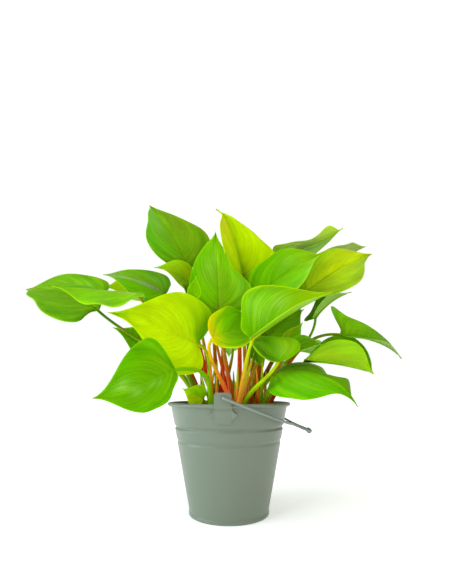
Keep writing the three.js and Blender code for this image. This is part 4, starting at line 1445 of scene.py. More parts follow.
@dataclass
class Foliage:
    """All the blades.

    Attributes:
        blade: A blade's thickness.
        columns: How many faces a large blade has across.
        rows: How many faces it has along.
        young_width: The width below which a blade has half of them.
        crowding: How strongly the columns crowd near the midrib and the margins.
    """

    blade: float = 0.5
    columns: int = 44
    rows: int = 64
    young_width: float = 32.0
    crowding: float = 0.09

    def build(self) -> None:
        """Builds every blade and dresses it."""
        finishes = {
            Slot.LIME: LeafFinish(
                "lime_blade", roughness=0.42, vein_light=0.6, streak=0.6, tan=0.4, gloss=0.04, glow=0.2,
                sheen_tint=Hue.LEMON, bloom=0.06,
            ),
            Slot.GREEN: LeafFinish(
                "green_blade", roughness=0.4, vein_light=0.75, streak=1.0, tan=0.5, gloss=0.045, glow=0.16,
                sheen_tint=Hue.YOUNG, bloom=0.16,
            ),
            Slot.DEEP: LeafFinish(
                "deep_blade", roughness=0.4, vein_light=0.65, streak=1.0, tan=0.65, gloss=0.04, glow=0.12,
                sheen_tint=Hue.SPRING, bloom=0.3,
            ),
        }
        dressed = {slot: [finish.material(side) for side in LeafSide] for slot, finish in finishes.items()}
        for node, leaf in LEAVES.items():
            piece = self._blade(node.replace("leaf_", "blade_"), leaf, dressed[leaf.slot])
            hand_over(piece, Body.PAIL, leaf.slot, node)

    def _blade(self, name: str, leaf: Leaf, materials: list[Material]) -> Piece:
        """Builds one blade as a thin sheet with an upper face, an underside and a margin.

        Args:
            name: The piece's name.
            leaf: The leaf.
            materials: The materials of the three sides.

        Returns:
            The piece.
        """
        young = leaf.width < self.young_width
        columns = self.columns // 2 if young else self.columns
        rows = self.rows // 2 if young else self.rows
        sheet = Sheet()
        rib_gap = sheet.float_layer("rib_gap")
        edge_gap = sheet.float_layer("edge_gap")
        # The share of extra gloss and of painted sheen at each vertex.
        gleam = sheet.float_layer("gleam")

        def side_of(u: float) -> float:
            """Packs the columns a little closer near the midrib and the margins."""
            even = 2 * u - 1
            return even - self.crowding * math.sin(math.tau * even)

        spots = sheet.grid(columns, rows, lambda u, v: leaf.spot(v, side_of(u)) * MM)
        half_widths = {}
        for vert, (u, v) in spots.items():
            side = side_of(u)
            key = (round(v * rows), side > 0)
            if key not in half_widths:
                edge = leaf.spot(v, math.copysign(1.0, side), relief=False)
                half_widths[key] = (edge - leaf.spot(v, 0.0, relief=False)).length
            vert[rib_gap] = abs(side) * half_widths[key]
            vert[edge_gap] = (1 - abs(side)) * half_widths[key]
            vert[sheet.tint] = leaf.tint(v, side)
            vert[gleam] = leaf.gleam(v, side)
        self._remap(sheet, side_of)
        sheet.outward()
        facing = sum((face.normal * face.calc_area() for face in sheet.mesh.faces), Vector())
        if facing.dot(leaf.normal) < 0:
            bmesh.ops.reverse_faces(sheet.mesh, faces=sheet.mesh.faces)
        for edge in sheet.mesh.edges:
            edge.smooth = not edge.is_boundary
        piece = sheet.finish(name, materials)
        thick = piece.modifiers.new("thickness", "SOLIDIFY")
        thick.thickness = self.blade * MM
        thick.offset = 0.0
        thick.material_offset = LeafSide.UNDER.value
        thick.material_offset_rim = LeafSide.MARGIN.value
        return piece

    def _remap(self, sheet: Sheet, side_of: Callable[[float], float]) -> None:
        """Makes the map's first part run from notch to tip, and its second from margin to margin.

        Args:
            sheet: The mesh under construction.
            side_of: Gives the way across, from -1 to 1, at a share of the columns.
        """
        for face in sheet.mesh.faces:
            for loop in face.loops:
                u, v = loop[sheet.uv].uv
                loop[sheet.uv].uv = (v, (side_of(u) + 1) / 2)


@dataclass
class Stems:
    """The leafy stems: a ringed crown in the soil and the petioles that rise from it.

    Attributes:
        sides: How many sides a petiole has.
        crown_foot: How deep a crown reaches.
        crown_taper: How much narrower a crown is at its top.
        rings: How many old leaves' rings a crown has.
        ring_height: How far a ring stands out.
        full_width: The width from which a blade has a petiole of full thickness.
        sheath: How much wider a petiole is at its foot, as a share.
        knee: How much wider it is just below the blade, as a share.
        plump: How much thicker a petiole's foot is than the frame's, as a factor.
        rib_radius: The radius that the rib loses along the blade.
        rib_tip: The radius that it has left at its end.
        scales: How many dry scales stand round a crown.
        scale_foot: The height of their feet.
        scale_gap: How far from the crown's middle they stand.
        spears: How many rolled young leaves stand round a crown.
        spear_foot: The height of their feet.
        spear_gap: How far from the crown's middle they stand.
        spear_radius: How much their swelling adds to their radius.
        seed: The seed of the random draws.
    """

    sides: int = 12
    crown_foot: float = 84.0
    crown_taper: float = 1.4
    rings: int = 5
    ring_height: float = 0.25
    full_width: float = 50.0
    sheath: float = 0.4
    knee: float = 0.18
    plump: float = 1.5
    rib_radius: float = 0.95
    rib_tip: float = 0.22
    scales: int = 3
    scale_foot: float = 106.0
    scale_gap: float = 4.6
    spears: int = 3
    spear_foot: float = 108.0
    spear_gap: float = 4.2
    spear_radius: float = 2.1
    seed: int = 11

    def build(self) -> None:
        """Builds every stem and dresses it."""
        skin = StalkFinish().material()
        draw = random.Random(self.seed)
        for name, place in CROWNS.items():
            sheet = Sheet()
            self._crown(sheet, place)
            for leaf in LEAVES.values():
                if leaf.stem == name:
                    self._petiole(sheet, leaf)
            for _ in range(self.scales):
                self._scale(sheet, place, draw)
            for _ in range(self.spears):
                self._spear(sheet, place, draw)
            sheet.outward()
            piece = sheet.finish(name.replace("stem_", "stalks_"), [skin])
            hand_over(piece, Body.PAIL, Slot.STALK, name)

    def _crown(self, sheet: Sheet, place: Pair) -> None:
        """Lays a short crown with the rings that old leaves left.

        Args:
            sheet: The mesh under construction.
            place: Where the crown stands.
        """
        steps = 24
        path, radii, tints = [], [], []
        for step in range(steps + 1):
            share = step / steps
            height = self.crown_foot + (CROWN_TOP - self.crown_foot) * share
            ring = self.ring_height * math.cos(math.tau * self.rings * share)
            end = math.sqrt(max(0.02, 1 - max(0.0, (share - 0.85) / 0.15) ** 2))
            path.append(Vector((*place, height)) * MM)
            radii.append((CROWN_RADIUS - self.crown_taper * share + ring) * end * MM)
            tints.append(blend(Hue.BARK.colour, Hue.KHAKI.colour, smooth(0.7, 1.0, share)))
        sheet.rod(path, radii, 20, tints)

    def _petiole(self, sheet: Sheet, leaf: Leaf) -> None:
        """Lays a petiole that runs on as the rib under its blade.

        Args:
            sheet: The mesh under construction.
            leaf: The leaf.
        """
        stalk, rib = leaf.petiole(), leaf.midrib()
        size = min(1.0, leaf.width / self.full_width)
        radii, tints = [], []
        foot, head = leaf.stalk
        rib_colour = blend(leaf.halves[0].colour, Hue.YOUNG.colour, 0.5)
        for step in range(len(stalk)):
            share = step / (len(stalk) - 1)
            radius = size * self.plump * PETIOLE_FOOT_RADIUS * (1 - share) + PETIOLE_END_RADIUS * share
            knee = self.knee * math.exp(-(((share - 0.97) / 0.05) ** 2))
            radii.append(radius * (1 + self.sheath * (1 - smooth(0.0, 0.2, share)) + knee) * MM)
            tints.append(blend(foot.colour, head.colour, smooth(0.2, 0.95, share)))
        for step in range(len(rib)):
            share = step / (len(rib) - 1)
            radii.append((self.rib_radius * size * (1 - share) + self.rib_tip) * MM)
            tints.append(blend(head.colour, rib_colour, smooth(0.0, 0.3, share)))
        sheet.rod([point * MM for point in stalk + rib], radii, self.sides, tints)

    def _scale(self, sheet: Sheet, place: Pair, draw: random.Random) -> None:
        """Lays one dry papery scale that stands against a crown.

        Args:
            sheet: The mesh under construction.
            place: Where the crown stands.
            draw: The seeded random source.
        """
        turn = draw.uniform(0, math.tau)
        height = draw.uniform(10, 17)
        lean = draw.uniform(0.1, 0.3)
        steps = 10
        out = Vector((math.cos(turn), math.sin(turn), 0.0))
        path, radii, tints = [], [], []
        for step in range(steps + 1):
            share = step / steps
            aside = self.scale_gap + lean * height * share
            path.append((Vector((*place, self.scale_foot + height * share)) + out * aside) * MM)
            radii.append((0.15 + 1.25 * math.sqrt(max(0.0, 1 - share)) * min(1.0, 0.5 + share)) * MM)
            tints.append(blend(Hue.MAHOGANY.colour, Hue.AMBER.colour, 0.35 * share))
        sheet.rod(path, radii, 8, tints)

    def _spear(self, sheet: Sheet, place: Pair, draw: random.Random) -> None:
        """Lays a young leaf that is still rolled in its sheath beside a crown.

        Args:
            sheet: The mesh under construction.
            place: Where the crown stands.
            draw: The seeded random source.
        """
        turn = draw.uniform(0, math.tau)
        height = draw.uniform(32, 62)
        lean = draw.uniform(0.05, 0.25)
        foot = draw.choice((Hue.CORAL, Hue.RED, Hue.AMBER, Hue.OLIVE))
        head = draw.choice((Hue.YOUNG, Hue.LIME, Hue.AMBER))
        steps = 16
        out = Vector((math.cos(turn), math.sin(turn), 0.0))
        path, radii, tints = [], [], []
        for step in range(steps + 1):
            share = step / steps
            aside = self.spear_gap + lean * height * share**1.5
            path.append((Vector((*place, self.spear_foot + height * share)) + out * aside) * MM)
            swell = math.sqrt(1 - share) * (0.75 + 0.35 * math.sin(math.pi * share))
            radii.append((0.12 + self.spear_radius * swell) * MM)
            tints.append(blend(foot.colour, head.colour, smooth(0.2, 0.9, share)))
        sheet.rod(path, radii, 12, tints)


@dataclass
class Pail:
    """The tapered pail: its wall, base and two ears.

    Attributes:
        rim_bead: The radius of the rolled rim.
        wall_top: The wall's radius, if it ran up to the full height.
        wall_foot: The wall's radius at the floor.
        foot_step: How far the band at the foot stands out.
        foot_bead: The height of that band.
        sheet: The sheet's thickness.
        grooves: The heights of the pressed grooves.
        groove_width: A groove's width.
        groove_depths: How deep each groove is.
        seam_place: How far the seam is from the middle of the back.
        seam_edge: How far from its middle the seam begins and ends to slope off.
        seam_lift: How far it stands out.
        steps: How many faces there are round the pail.
        rings: How many faces there are up the outside of the wall.
    """

    rim_bead: float = 2.0
    wall_top: float = 62.0
    wall_foot: float = 41.6
    foot_step: float = 1.2
    foot_bead: float = 4.0
    sheet: float = 0.8
    grooves: Pair = (93.0, 78.5)
    groove_width: float = 5.2
    groove_depths: Pair = (1.6, 0.95)
    seam_place: float = 16.0
    seam_edge: Pair = (2.0, 3.4)
    seam_lift: float = 0.4
    steps: int = 144
    rings: int = 110

    def __post_init__(self) -> None:
        """Reads the pail's height, its rim and its foot from the frame."""
        _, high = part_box("pail_wall")
        self.height = high.z / MM
        self.rim_radius = high.x / MM
        self.foot_radius = self.wall_foot + self.foot_step

    def wall_radius(self, height: float) -> float:
        """The outside radius of the plain taper at a height."""
        return self.wall_foot + (self.wall_top - self.wall_foot) * height / self.height

    def grooved(self, height: float) -> float:
        """The wall's outside radius with its pressed grooves.

        Args:
            height: The height.

        Returns:
            The radius.
        """
        radius = self.wall_radius(height)
        for centre, depth in zip(self.grooves, self.groove_depths):
            off = abs(height - centre) / (self.groove_width / 2)
            if off < 1:
                radius -= depth * (0.5 + 0.5 * math.cos(math.pi * off))
        return radius

    def build(self) -> None:
        """Builds the wall, the base and the ears, and dresses them."""
        hand_over(self._wall(), Body.PAIL, Slot.ENAMEL, "pail_wall")
        hand_over(self._base(), Body.PAIL, Slot.ENAMEL, "pail_floor")
        ear = Ear(self)
        for name, turned in (("ear_front", 0.0), ("ear_back", math.pi)):
            piece = ear.build(name.replace("ear_", "lug_"), turned)
            hand_over(piece, Body.PAIL, Slot.ENAMEL, name)

    @cached_property
    def paint(self) -> Material:
        """The sage paint of the pail and its ears."""
        return PaintFinish("sage_paint", code=0x6B7665, worn=0x98A69A, roughness=0.36).material()

    def _wall(self) -> Piece:
        """Turns the wall with its foot band, its grooves and its rolled rim.

        Returns:
            The piece.
        """
        foot, band = self.foot_radius, self.foot_bead
        outside = [(foot - 0.8, 0.0), (foot - 0.25, 0.15), (foot, 0.7), (foot, band - 0.9)]
        outside += [(foot - 0.25, band - 0.3), (self.grooved(band) + 0.1, band)]
        span = self.height - 2 * self.rim_bead - band - 0.5
        heights = [band + 0.5 + step * span / self.rings for step in range(self.rings + 1)]
        outside += [(self.grooved(height), height) for height in heights]
        centre = (self.rim_radius - self.rim_bead, self.height - self.rim_bead)
        bead = []
        for angle in range(-80, 191, 15):
            turn = math.radians(angle)
            out, up = self.rim_bead * math.cos(turn), self.rim_bead * math.sin(turn)
            bead.append((centre[0] + out, centre[1] + up))
        inside = [(self.grooved(height) - self.sheet, height) for height in reversed(heights[:-2])]
        inside.append((self.wall_foot - self.sheet, 0.0))
        sheet = Sheet()
        profile = [(radius * MM, height * MM) for radius, height in outside + bead + inside]
        sheet.turned(profile, self.steps, closed=True)
        self._seam(sheet)
        return sheet.finish("pail_shell", [self.paint])

    def _seam(self, sheet: Sheet) -> None:
        """Raises the lapped seam that runs down the wall at the back.

        Args:
            sheet: The wall under construction.
        """
        for vert in sheet.mesh.verts:
            height = vert.co.z / MM
            if not self.foot_bead + 2 < height < self.height - 7:
                continue
            across = math.atan2(vert.co.x, vert.co.y) * vert.co.xy.length / MM
            lift = self.seam_lift * (1 - smooth(*self.seam_edge, abs(across - self.seam_place))) * MM
            vert.co.xy += vert.co.xy.normalized() * lift

    def _base(self) -> Piece:
        """Makes the pressed base, with a shallow ring in it.

        Returns:
            The piece.
        """
        sheet = Sheet()
        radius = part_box("pail_floor")[1].x
        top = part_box("pail_floor")[1].z
        ring = [(0.0, 0.25), (0.55, 0.25), (0.62, 0.0), (0.93, 0.0), (0.97, 0.05), (1.0, 0.25)]
        under = [(share * radius, height * MM) for share, height in ring]
        over = [(share * radius, top) for share in (1.0, 0.97, 0.6, 0.0)]
        sheet.turned(under + over, self.steps, closed=False)
        piece = sheet.finish("pail_base", [self.paint])
        sharp_above(piece, 40)
        return piece


# The lug's heights, each with its half width there.
EAR_OUTLINE = (
    (99.5, 5.8), (100.2, 6.9), (102.6, 8.0), (105.4, 10.4), (107.4, 13.2), (108.3, 13.0),
    (110.4, 9.9), (113.0, 8.4), (117.0, 8.0), (126.2, 7.9), (127.4, 7.3), (128.4, 5.6),
)


@dataclass
class Ear:
    """One pressed lug: it lies on the wall, steps out over the rim and holds the bail's hook in its hole.

    Attributes:
        pail: The pail that it is fixed to.
        foot: The height of its lower end.
        top: The height of its upper end.
        sheet: Its thickness.
        hole_radius: The radius of its hole.
        wing_lift: How far the tips of the wings stand off the wall.
        wing_rise: How far from the lug's middle that lift begins and is full.
        weld_place: How far across and how high the two weld marks are.
        weld_radius: A weld mark's radius.
        weld_depth: Its depth.
        edge_round: How much its edges are rounded.
        columns: How many faces it has across.
        rows: How many faces it has up.
    """

    pail: Pail
    foot: float = 99.5
    top: float = 128.4
    sheet: float = 1.0
    hole_radius: float = 1.6
    wing_lift: float = 1.3
    wing_rise: Pair = (7.5, 12.5)
    weld_place: Pair = (7.6, 104.3)
    weld_radius: float = 1.1
    weld_depth: float = 0.55
    edge_round: float = 0.22
    columns: int = 28
    rows: int = 56

    def half_width(self, height: float) -> float:
        """Half of the lug's width.

        Args:
            height: The height.

        Returns:
            The half width.
        """
        for (low, first), (high, second) in zip(EAR_OUTLINE, EAR_OUTLINE[1:]):
            if height <= high:
                return first + (second - first) * (height - low) / (high - low)
        return EAR_OUTLINE[-1][1]

    def radius(self, height: float) -> float:
        """The radius of the lug's middle surface.

        Args:
            height: The height.

        Returns:
            The radius.
        """
        low = self.pail.wall_radius(height) + CLEARANCE + self.sheet / 2 + 0.15
        high = self.pail.rim_radius + CLEARANCE + self.sheet / 2
        return low + (high - low) * smooth(self.pail.height - 6.5, self.pail.height - 2.5, height)

    def build(self, name: str, turned: float) -> Piece:
        """Builds the lug.

        Args:
            name: The piece's name.
            turned: How far round the pail it is, in radians.

        Returns:
            The piece.
        """
        heading = math.radians(HINGE_YAW) + turned
        across, up = self.weld_place

        def place(u: float, v: float) -> Vector:
            """Finds a point of the middle surface.

            Args:
                u: The share of the way across.
                v: The share of the way up.

            Returns:
                The point, in metres.
            """
            height = self.foot + (self.top - self.foot) * v
            side = 2 * u - 1
            half = self.half_width(height)
            radius = self.radius(height)
            gap = min(math.hypot(side * half - weld, height - up) for weld in (-across, across))
            radius -= self.weld_depth * math.exp(-((gap / self.weld_radius) ** 2))
            radius += self.wing_lift * smooth(*self.wing_rise, abs(side * half))
            turn = side * half / radius + heading
            return Vector((radius * math.sin(turn), -radius * math.cos(turn), height)) * MM

        sheet = Sheet()
        sheet.grid(self.columns, self.rows, place)
        sheet.outward()
        piece = sheet.finish(name, [self.pail.paint])
        thick = piece.modifiers.new("thickness", "SOLIDIFY")
        thick.thickness = self.sheet * MM
        thick.offset = 0.0
        punch = self._punch(heading)
        hole = piece.modifiers.new("hole", "BOOLEAN")
        hole.operation = "DIFFERENCE"
        hole.solver = "EXACT"
        hole.object = punch
        edges = piece.modifiers.new("edges", "BEVEL")
        edges.width = self.edge_round * MM
        edges.segments = 2
        edges.limit_method = "ANGLE"
        edges.angle_limit = math.radians(50)
        hardened(piece)
        bpy.data.objects.remove(punch)
        piece.data.shade_smooth()
        sharp_above(piece, 35)
        return piece

    def _punch(self, heading: float) -> Piece:
        """Makes the round punch that cuts the hole.

        Args:
            heading: How far round the pail the hole is, in radians.

        Returns:
            The punch.
        """
        sheet = Sheet()
        out = Matrix.Translation((0, -self.pail.rim_radius * MM, HINGE_HEIGHT * MM))
        place = Matrix.Rotation(heading, 4, "Z") @ out @ Matrix.Rotation(math.pi / 2, 4, "X")
        radius = self.hole_radius * MM
        bmesh.ops.create_cone(
            sheet.mesh, cap_ends=True, segments=32, radius1=radius, radius2=radius, depth=12 * MM,
            matrix=place,
        )
        return sheet.finish("punch", [])


@dataclass
class Bail:
    """The wire bail, drawn flat with u out from the hinge line and v along it, then let down.

    Attributes:
        wire: The wire's thickness.
        reach: How far the oval reaches from the hinge line.
        half_span: Half of the oval's width.
        roundness: The oval's exponent.
        loop_reach: How far the finger loop reaches.
        loop_half: Half of the loop's width.
        grip_radius: The sleeve's radius.
        grip_length: The sleeve's length.
        grip_gap: The play between the sleeve and the wire.
        grip_waist: How much thinner the sleeve is in its middle.
        grip_steps: How many faces it has along.
        rim_radius: The pail's rim.
        bend_steps: How many pieces the wire has between two points of its drawing.
    """

    wire: float = 2.7
    reach: float = 74.5
    half_span: float = 69.6
    roundness: float = 1.8
    loop_reach: float = 91.5
    loop_half: float = 9.5
    grip_radius: float = 2.8
    grip_length: float = 11.0
    grip_gap: float = 0.25
    grip_waist: float = 0.18
    grip_steps: int = 24
    rim_radius: float = 65.0
    bend_steps: int = 9

    def build(self) -> None:
        """Builds the wire and its sleeve and dresses them."""
        hand_over(self._wire(), Body.BAIL, Slot.BAIL, "bail_wire")
        hand_over(self._grip(), Body.BAIL, Slot.BAIL, "bail_grip")

    @cached_property
    def paint(self) -> Material:
        """The thin paint of the wire and its sleeve."""
        finish = PaintFinish("bail_paint", code=0x7E887F, worn=0xB2B9B3, roughness=0.3, metallic=0.3)
        return finish.material()

    @cached_property
    def pose(self) -> Matrix:
        """How the flat drawing is carried to its resting place.

        Returns:
            The move and the turn.
        """
        yaw = Matrix.Rotation(math.radians(HINGE_YAW), 4, "Z")
        droop = Matrix.Rotation(math.radians(BAIL_DROOP), 4, "Y")
        return Matrix.Translation((0, 0, HINGE_HEIGHT * MM)) @ yaw @ droop

    def _flat_points(self) -> list[Vector]:
        """Draws the wire flat: a hook, an arm and half of the loop, and their mirror image.

        Returns:
            The points that it runs through.
        """
        rim = self.rim_radius
        hook = [(3.4, 4.6 - rim), (1, 3.9 - rim), (0, 1.6 - rim), (0, -1 - rim)]
        hook += [(0.6, 0.9 - self.half_span), (3, -self.half_span)]
        arm = []
        for v in (68.6, 67, 64, 59.5, 53, 45, 36, 27, 19):
            share = 1 - abs(v / self.half_span) ** self.roundness
            arm.append((self.reach * share ** (1 / self.roundness), -v))
        loop = [(self.reach - 1, -self.loop_half - 2), (self.reach + 4, -self.loop_half)]
        loop += [(self.loop_reach - 3, -self.loop_half), (self.loop_reach, 3 - self.loop_half)]
        loop.append((self.loop_reach, -self.loop_half / 3))
        near = hook + arm + loop
        far = [(u, -v) for u, v in reversed(near)]
        return [Vector((u, v, 0.0)) for u, v in near + far]

    def _wire(self) -> Piece:
        """Lays the wire as one round rod with rounded ends.

        Returns:
            The piece.
        """
        path = through(self._flat_points(), self.bend_steps)
        spans = [0.0]
        for first, second in zip(path, path[1:]):
            spans.append(spans[-1] + (second - first).length)
        radius = self.wire / 2
        radii = []
        for done in spans:
            end = min(1.0, min(done, spans[-1] - done) / radius)
            radii.append(radius * MM * math.sqrt(max(0.03, 1 - (1 - end) ** 2)))
        sheet = Sheet()
        sheet.rod([self.pose @ (point * MM) for point in path], radii, 16)
        sheet.outward()
        return sheet.finish("bail_rod", [self.paint])

    def _grip(self) -> Piece:
        """Turns the sleeve on the loop, with rolled ends and a fine waist.

        Returns:
            The piece.
        """
        bore = self.wire / 2 + self.grip_gap
        half = self.grip_length / 2
        profile = []
        for step in range(self.grip_steps + 1):
            share = 2 * step / self.grip_steps - 1
            edge = math.sqrt(max(0.0, 1 - max(0.0, (abs(share) - 0.86) / 0.14) ** 2))
            body = self.grip_radius - self.grip_waist * math.cos(math.pi * share / 2) ** 2
            profile.append((bore + (body - bore) * (0.35 + 0.65 * edge), share * half))
        profile += [(bore, half), (bore, -half)]
        sheet = Sheet()
        sheet.turned([(radius * MM, height * MM) for radius, height in profile], 32, closed=True)
        turned = Matrix.Translation((self.loop_reach * MM, 0, 0)) @ Matrix.Rotation(math.pi / 2, 4, "X")
        bmesh.ops.transform(sheet.mesh, matrix=self.pose @ turned, verts=sheet.mesh.verts)
        piece = sheet.finish("bail_sleeve", [self.paint])
        sharp_above(piece, 50)
        return piece


def through(points: list[Vector], steps: int) -> list[Vector]:
    """A smooth line through points, by the centripetal rule.

    Args:
        points: The points that it runs through.
        steps: How many pieces each stretch between two of them has.

    Returns:
        The line's points.
    """
    first = points[0] * 2 - points[1]
    last = points[-1] * 2 - points[-2]
    padded = [first, *points, last]
    line = [points[0].copy()]
    for p0, p1, p2, p3 in zip(padded, padded[1:], padded[2:], padded[3:]):
        knots = [0.0]
        for a, b in ((p0, p1), (p1, p2), (p2, p3)):
            knots.append(knots[-1] + max(1e-6, math.sqrt((b - a).length)))
        t0, t1, t2, t3 = knots
        for step in range(1, steps + 1):
            t = t1 + (t2 - t1) * step / steps
            a1 = p0 * ((t1 - t) / (t1 - t0)) + p1 * ((t - t0) / (t1 - t0))
            a2 = p1 * ((t2 - t) / (t2 - t1)) + p2 * ((t - t1) / (t2 - t1))
            a3 = p2 * ((t3 - t) / (t3 - t2)) + p3 * ((t - t2) / (t3 - t2))
            b1 = a1 * ((t2 - t) / (t2 - t0)) + a2 * ((t - t0) / (t2 - t0))
            b2 = a2 * ((t3 - t) / (t3 - t1)) + a3 * ((t - t1) / (t3 - t1))
            line.append(b1 * ((t2 - t) / (t2 - t1)) + b2 * ((t - t1) / (t2 - t1)))
    return line


@dataclass
class Soil:
    """The potting mix, and the crumbs that lie on it.

    Attributes:
        top: The height of the soil at the wall.
        foot_radius: The radius of its foot.
        mound: How much higher it is in the middle.
        slope: How far from the middle the mound begins and ends to fall.
        crumbs: How many crumbs lie on it.
        perlite: The share of them that is white perlite.
        browns: The sRGB codes of the other crumbs.
        white: The sRGB code of perlite.
        seed: The seed of the random draws.
    """

    top: float = 103.0
    foot_radius: float = 38.4
    mound: float = 3.2
    slope: Pair = (18.0, 58.0)
    crumbs: int = 420
    perlite: float = 0.1
    browns: tuple[int, ...] = (0x2A1B11, 0x3F2A1A, 0x5A3C24, 0x1F150E)
    white: int = 0xD8D4C8
    seed: int = 5

    def height(self, x: float, y: float) -> float:
        """The height of the surface.

        Args:
            x: The place to the right of the middle.
            y: The place behind the middle.

        Returns:
            The height.
        """
        out = math.hypot(x, y)
        mound = self.mound * (1 - smooth(*self.slope, out))
        lumps = noise.noise(Vector((x, y, 0)) * 0.09) * 1.3 + noise.noise(Vector((x, y, 7)) * 0.3) * 0.7
        return self.top + mound + lumps

    def build(self) -> None:
        """Builds the soil and its crumbs, and dresses them."""
        low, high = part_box("potting_soil")
        hand_over(self._bed(low.z, high.x), Body.PAIL, Slot.SOIL, "potting_soil")
        hand_over(self._crumbs(high.x / MM - 3), Body.PAIL, Slot.SOIL)

    def _bed(self, foot: float, rim: float) -> Piece:
        """Turns the body of the soil and roughens its top.

        Args:
            foot: The height of its foot, in metres.
            rim: Its radius at the top, in metres.

        Returns:
            The piece.
        """
        foot_radius = self.foot_radius * MM
        profile = [(0.0, foot), (foot_radius, foot), (rim - 0.4 * MM, self.top * MM - 2 * MM)]
        rings = 44
        for ring in range(rings + 1):
            profile.append(((rim - 0.2 * MM) * (1 - ring / rings), self.top * MM))
        sheet = Sheet()
        sheet.turned(profile, 120, closed=False)
        for vert in sheet.mesh.verts:
            if vert.co.z > (self.top - 0.5) * MM:
                vert.co.z = self.height(vert.co.x / MM, vert.co.y / MM) * MM
        sheet.outward()
        return sheet.finish("soil_bed", [SoilFinish("peat").material(crumbs=False)])

    def _crumbs(self, rim: float) -> Piece:
        """Scatters crumbs of bark, peat and perlite over the soil.

        Args:
            rim: The radius that they stay inside.

        Returns:
            The piece.
        """
        draw = random.Random(self.seed)
        sheet = Sheet()
        for _ in range(self.crumbs):
            white = draw.random() < self.perlite
            size = draw.uniform(0.7, 1.5) if white else draw.uniform(0.6, 2.1)
            out, turn = rim * math.sqrt(draw.random()), draw.uniform(0, math.tau)
            x, y = out * math.cos(turn), out * math.sin(turn)
            spin = Matrix.Rotation(draw.uniform(0, math.tau), 4, (draw.random(), draw.random(), 0.3))
            shares = [draw.uniform(low, high) for low, high in ((0.8, 1.5), (0.6, 1.0), (0.5, 0.9))]
            shape = Matrix.Diagonal((*shares, 1))
            spot = Matrix.Translation(Vector((x, y, self.height(x, y) + size * 0.25)) * MM)
            made = bmesh.ops.create_icosphere(
                sheet.mesh, subdivisions=1, radius=size * MM, matrix=spot @ spin @ shape
            )["verts"]
            tint = linear(self.white if white else draw.choice(self.browns))
            for vert in made:
                vert.co += Vector([draw.uniform(-0.2, 0.2) * size * MM for _ in range(3)])
                vert[sheet.tint] = tint
        sheet.outward()
        piece = sheet.finish("soil_crumbs", [SoilFinish("bark_and_perlite").material(crumbs=True)])
        sharp_above(piece, 30)
        return piece


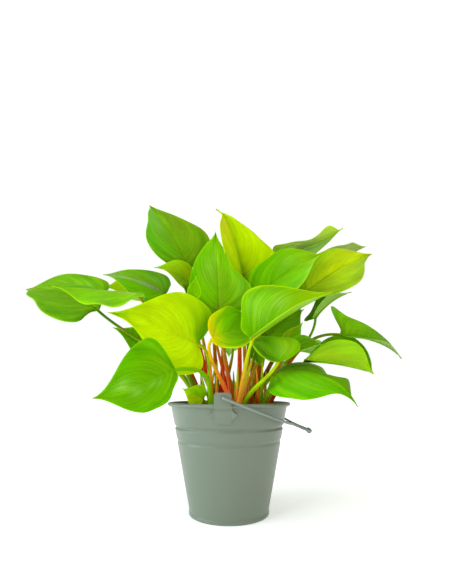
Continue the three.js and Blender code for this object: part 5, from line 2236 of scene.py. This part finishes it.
@dataclass
class Studio:
    """The camera, the pale floor and the soft lights.

    Attributes:
        eye: Where the camera stands, in metres.
        focal_pixels: The camera's focal length in pixels of the photograph's frame.
        frame_pixels: The frame's width and height.
        aim_pixels: Where in the frame the camera's own axis falls.
        sensor: The sensor's long side.
        target: The point that the lights look at, in metres.
        floor_radius: The floor's radius, in metres.
        floor_drop: How far the floor lies below the pail's foot, in metres.
        sky: How strongly the white room lights the part.
        backdrop: How bright the room looks to the camera.
    """

    eye: Point = (0.0, -0.402, 0.1317)
    focal_pixels: float = 375.0
    frame_pixels: tuple[int, int] = (452, 584)
    aim_pixels: Pair = (229.0, 389.0)
    sensor: float = 36.0
    target: Point = (0.0, 0.0, 0.2)
    floor_radius: float = 9.0
    floor_drop: float = 0.0002
    sky: float = 0.42
    backdrop: float = 1.02

    def build(self) -> None:
        """Sets up the camera, the floor, the room and the lights."""
        self._camera()
        self._floor()
        self._room()
        self._light("window_left", (-1.05, -0.7, 0.9), 1.1, 15.8, (0.9, 0.98, 1.0))
        self._light("side_strip", (-1.3, -0.2, 0.2), 0.35, 5.0, (0.6, 0.87, 1.0))
        self._light("window_right", (1.1, -1.0, 0.8), 1.2, 6.0, (1.0, 0.97, 0.9))
        self._light("top_light", (0.1, 0.2, 1.5), 1.4, 7.0, (1.0, 1.0, 1.0))
        bpy.context.scene.view_settings.view_transform = "Standard"

    def _camera(self) -> None:
        """Places the camera level, with its lens shifted as the photograph's framing needs."""
        width, height = self.frame_pixels
        long_side = max(width, height)
        data = bpy.data.cameras.new("camera")
        data.sensor_width = self.sensor
        data.lens = self.focal_pixels * self.sensor / long_side
        data.shift_x = (width / 2 - self.aim_pixels[0]) / long_side
        data.shift_y = (self.aim_pixels[1] - height / 2) / long_side
        data.clip_start = 0.01
        camera = bpy.data.objects.new("camera", data)
        camera.location = self.eye
        camera.rotation_euler = (math.pi / 2, 0.0, 0.0)
        bpy.context.scene.collection.objects.link(camera)
        bpy.context.scene.camera = camera

    def _floor(self) -> None:
        """Lays a wide round floor."""
        sheet = Sheet()
        bmesh.ops.create_circle(
            sheet.mesh, cap_ends=True, cap_tris=True, segments=96, radius=self.floor_radius
        )
        bmesh.ops.translate(sheet.mesh, vec=(0.0, 0.0, -self.floor_drop), verts=sheet.mesh.verts)
        sheet.outward()
        floor = sheet.finish("stage_floor", [StageFinish().material()])

    def _room(self) -> None:
        """Fills the room with even white light."""
        world = bpy.data.worlds.new("white_room")
        world.use_nodes = True
        tree = world.node_tree
        background = tree.nodes["Background"]
        background.inputs["Color"].default_value = WHITE
        seen = tree.nodes.new("ShaderNodeLightPath")
        level = tree.nodes.new("ShaderNodeMapRange")
        level.inputs["To Min"].default_value = self.sky
        level.inputs["To Max"].default_value = self.backdrop
        tree.links.new(seen.outputs["Is Camera Ray"], level.inputs["Value"])
        tree.links.new(level.outputs["Result"], background.inputs["Strength"])
        bpy.context.scene.world = world

    def _light(self, name: str, place: Point, size: float, power: float, colour: Point) -> None:
        """Hangs a soft square light that looks at the plant.

        Args:
            name: The light's name.
            place: Where it hangs, in metres.
            size: Its width, in metres.
            power: Its power, in watts.
            colour: Its colour.
        """
        data = bpy.data.lights.new(name, "AREA")
        data.size = size
        data.energy = power
        data.color = colour
        light = bpy.data.objects.new(name, data)
        light.location = place
        light.rotation_mode = "QUATERNION"
        light.rotation_quaternion = (Vector(self.target) - Vector(place)).to_track_quat("-Z", "Y")
        bpy.context.scene.collection.objects.link(light)


def main() -> None:
    """Builds the studio and the part."""
    logging.basicConfig(level=logging.INFO, format="%(message)s")
    Studio().build()
    Pail().build()
    Bail().build()
    Soil().build()
    Stems().build()
    Foliage().build()


if __name__ == "__main__":
    main()
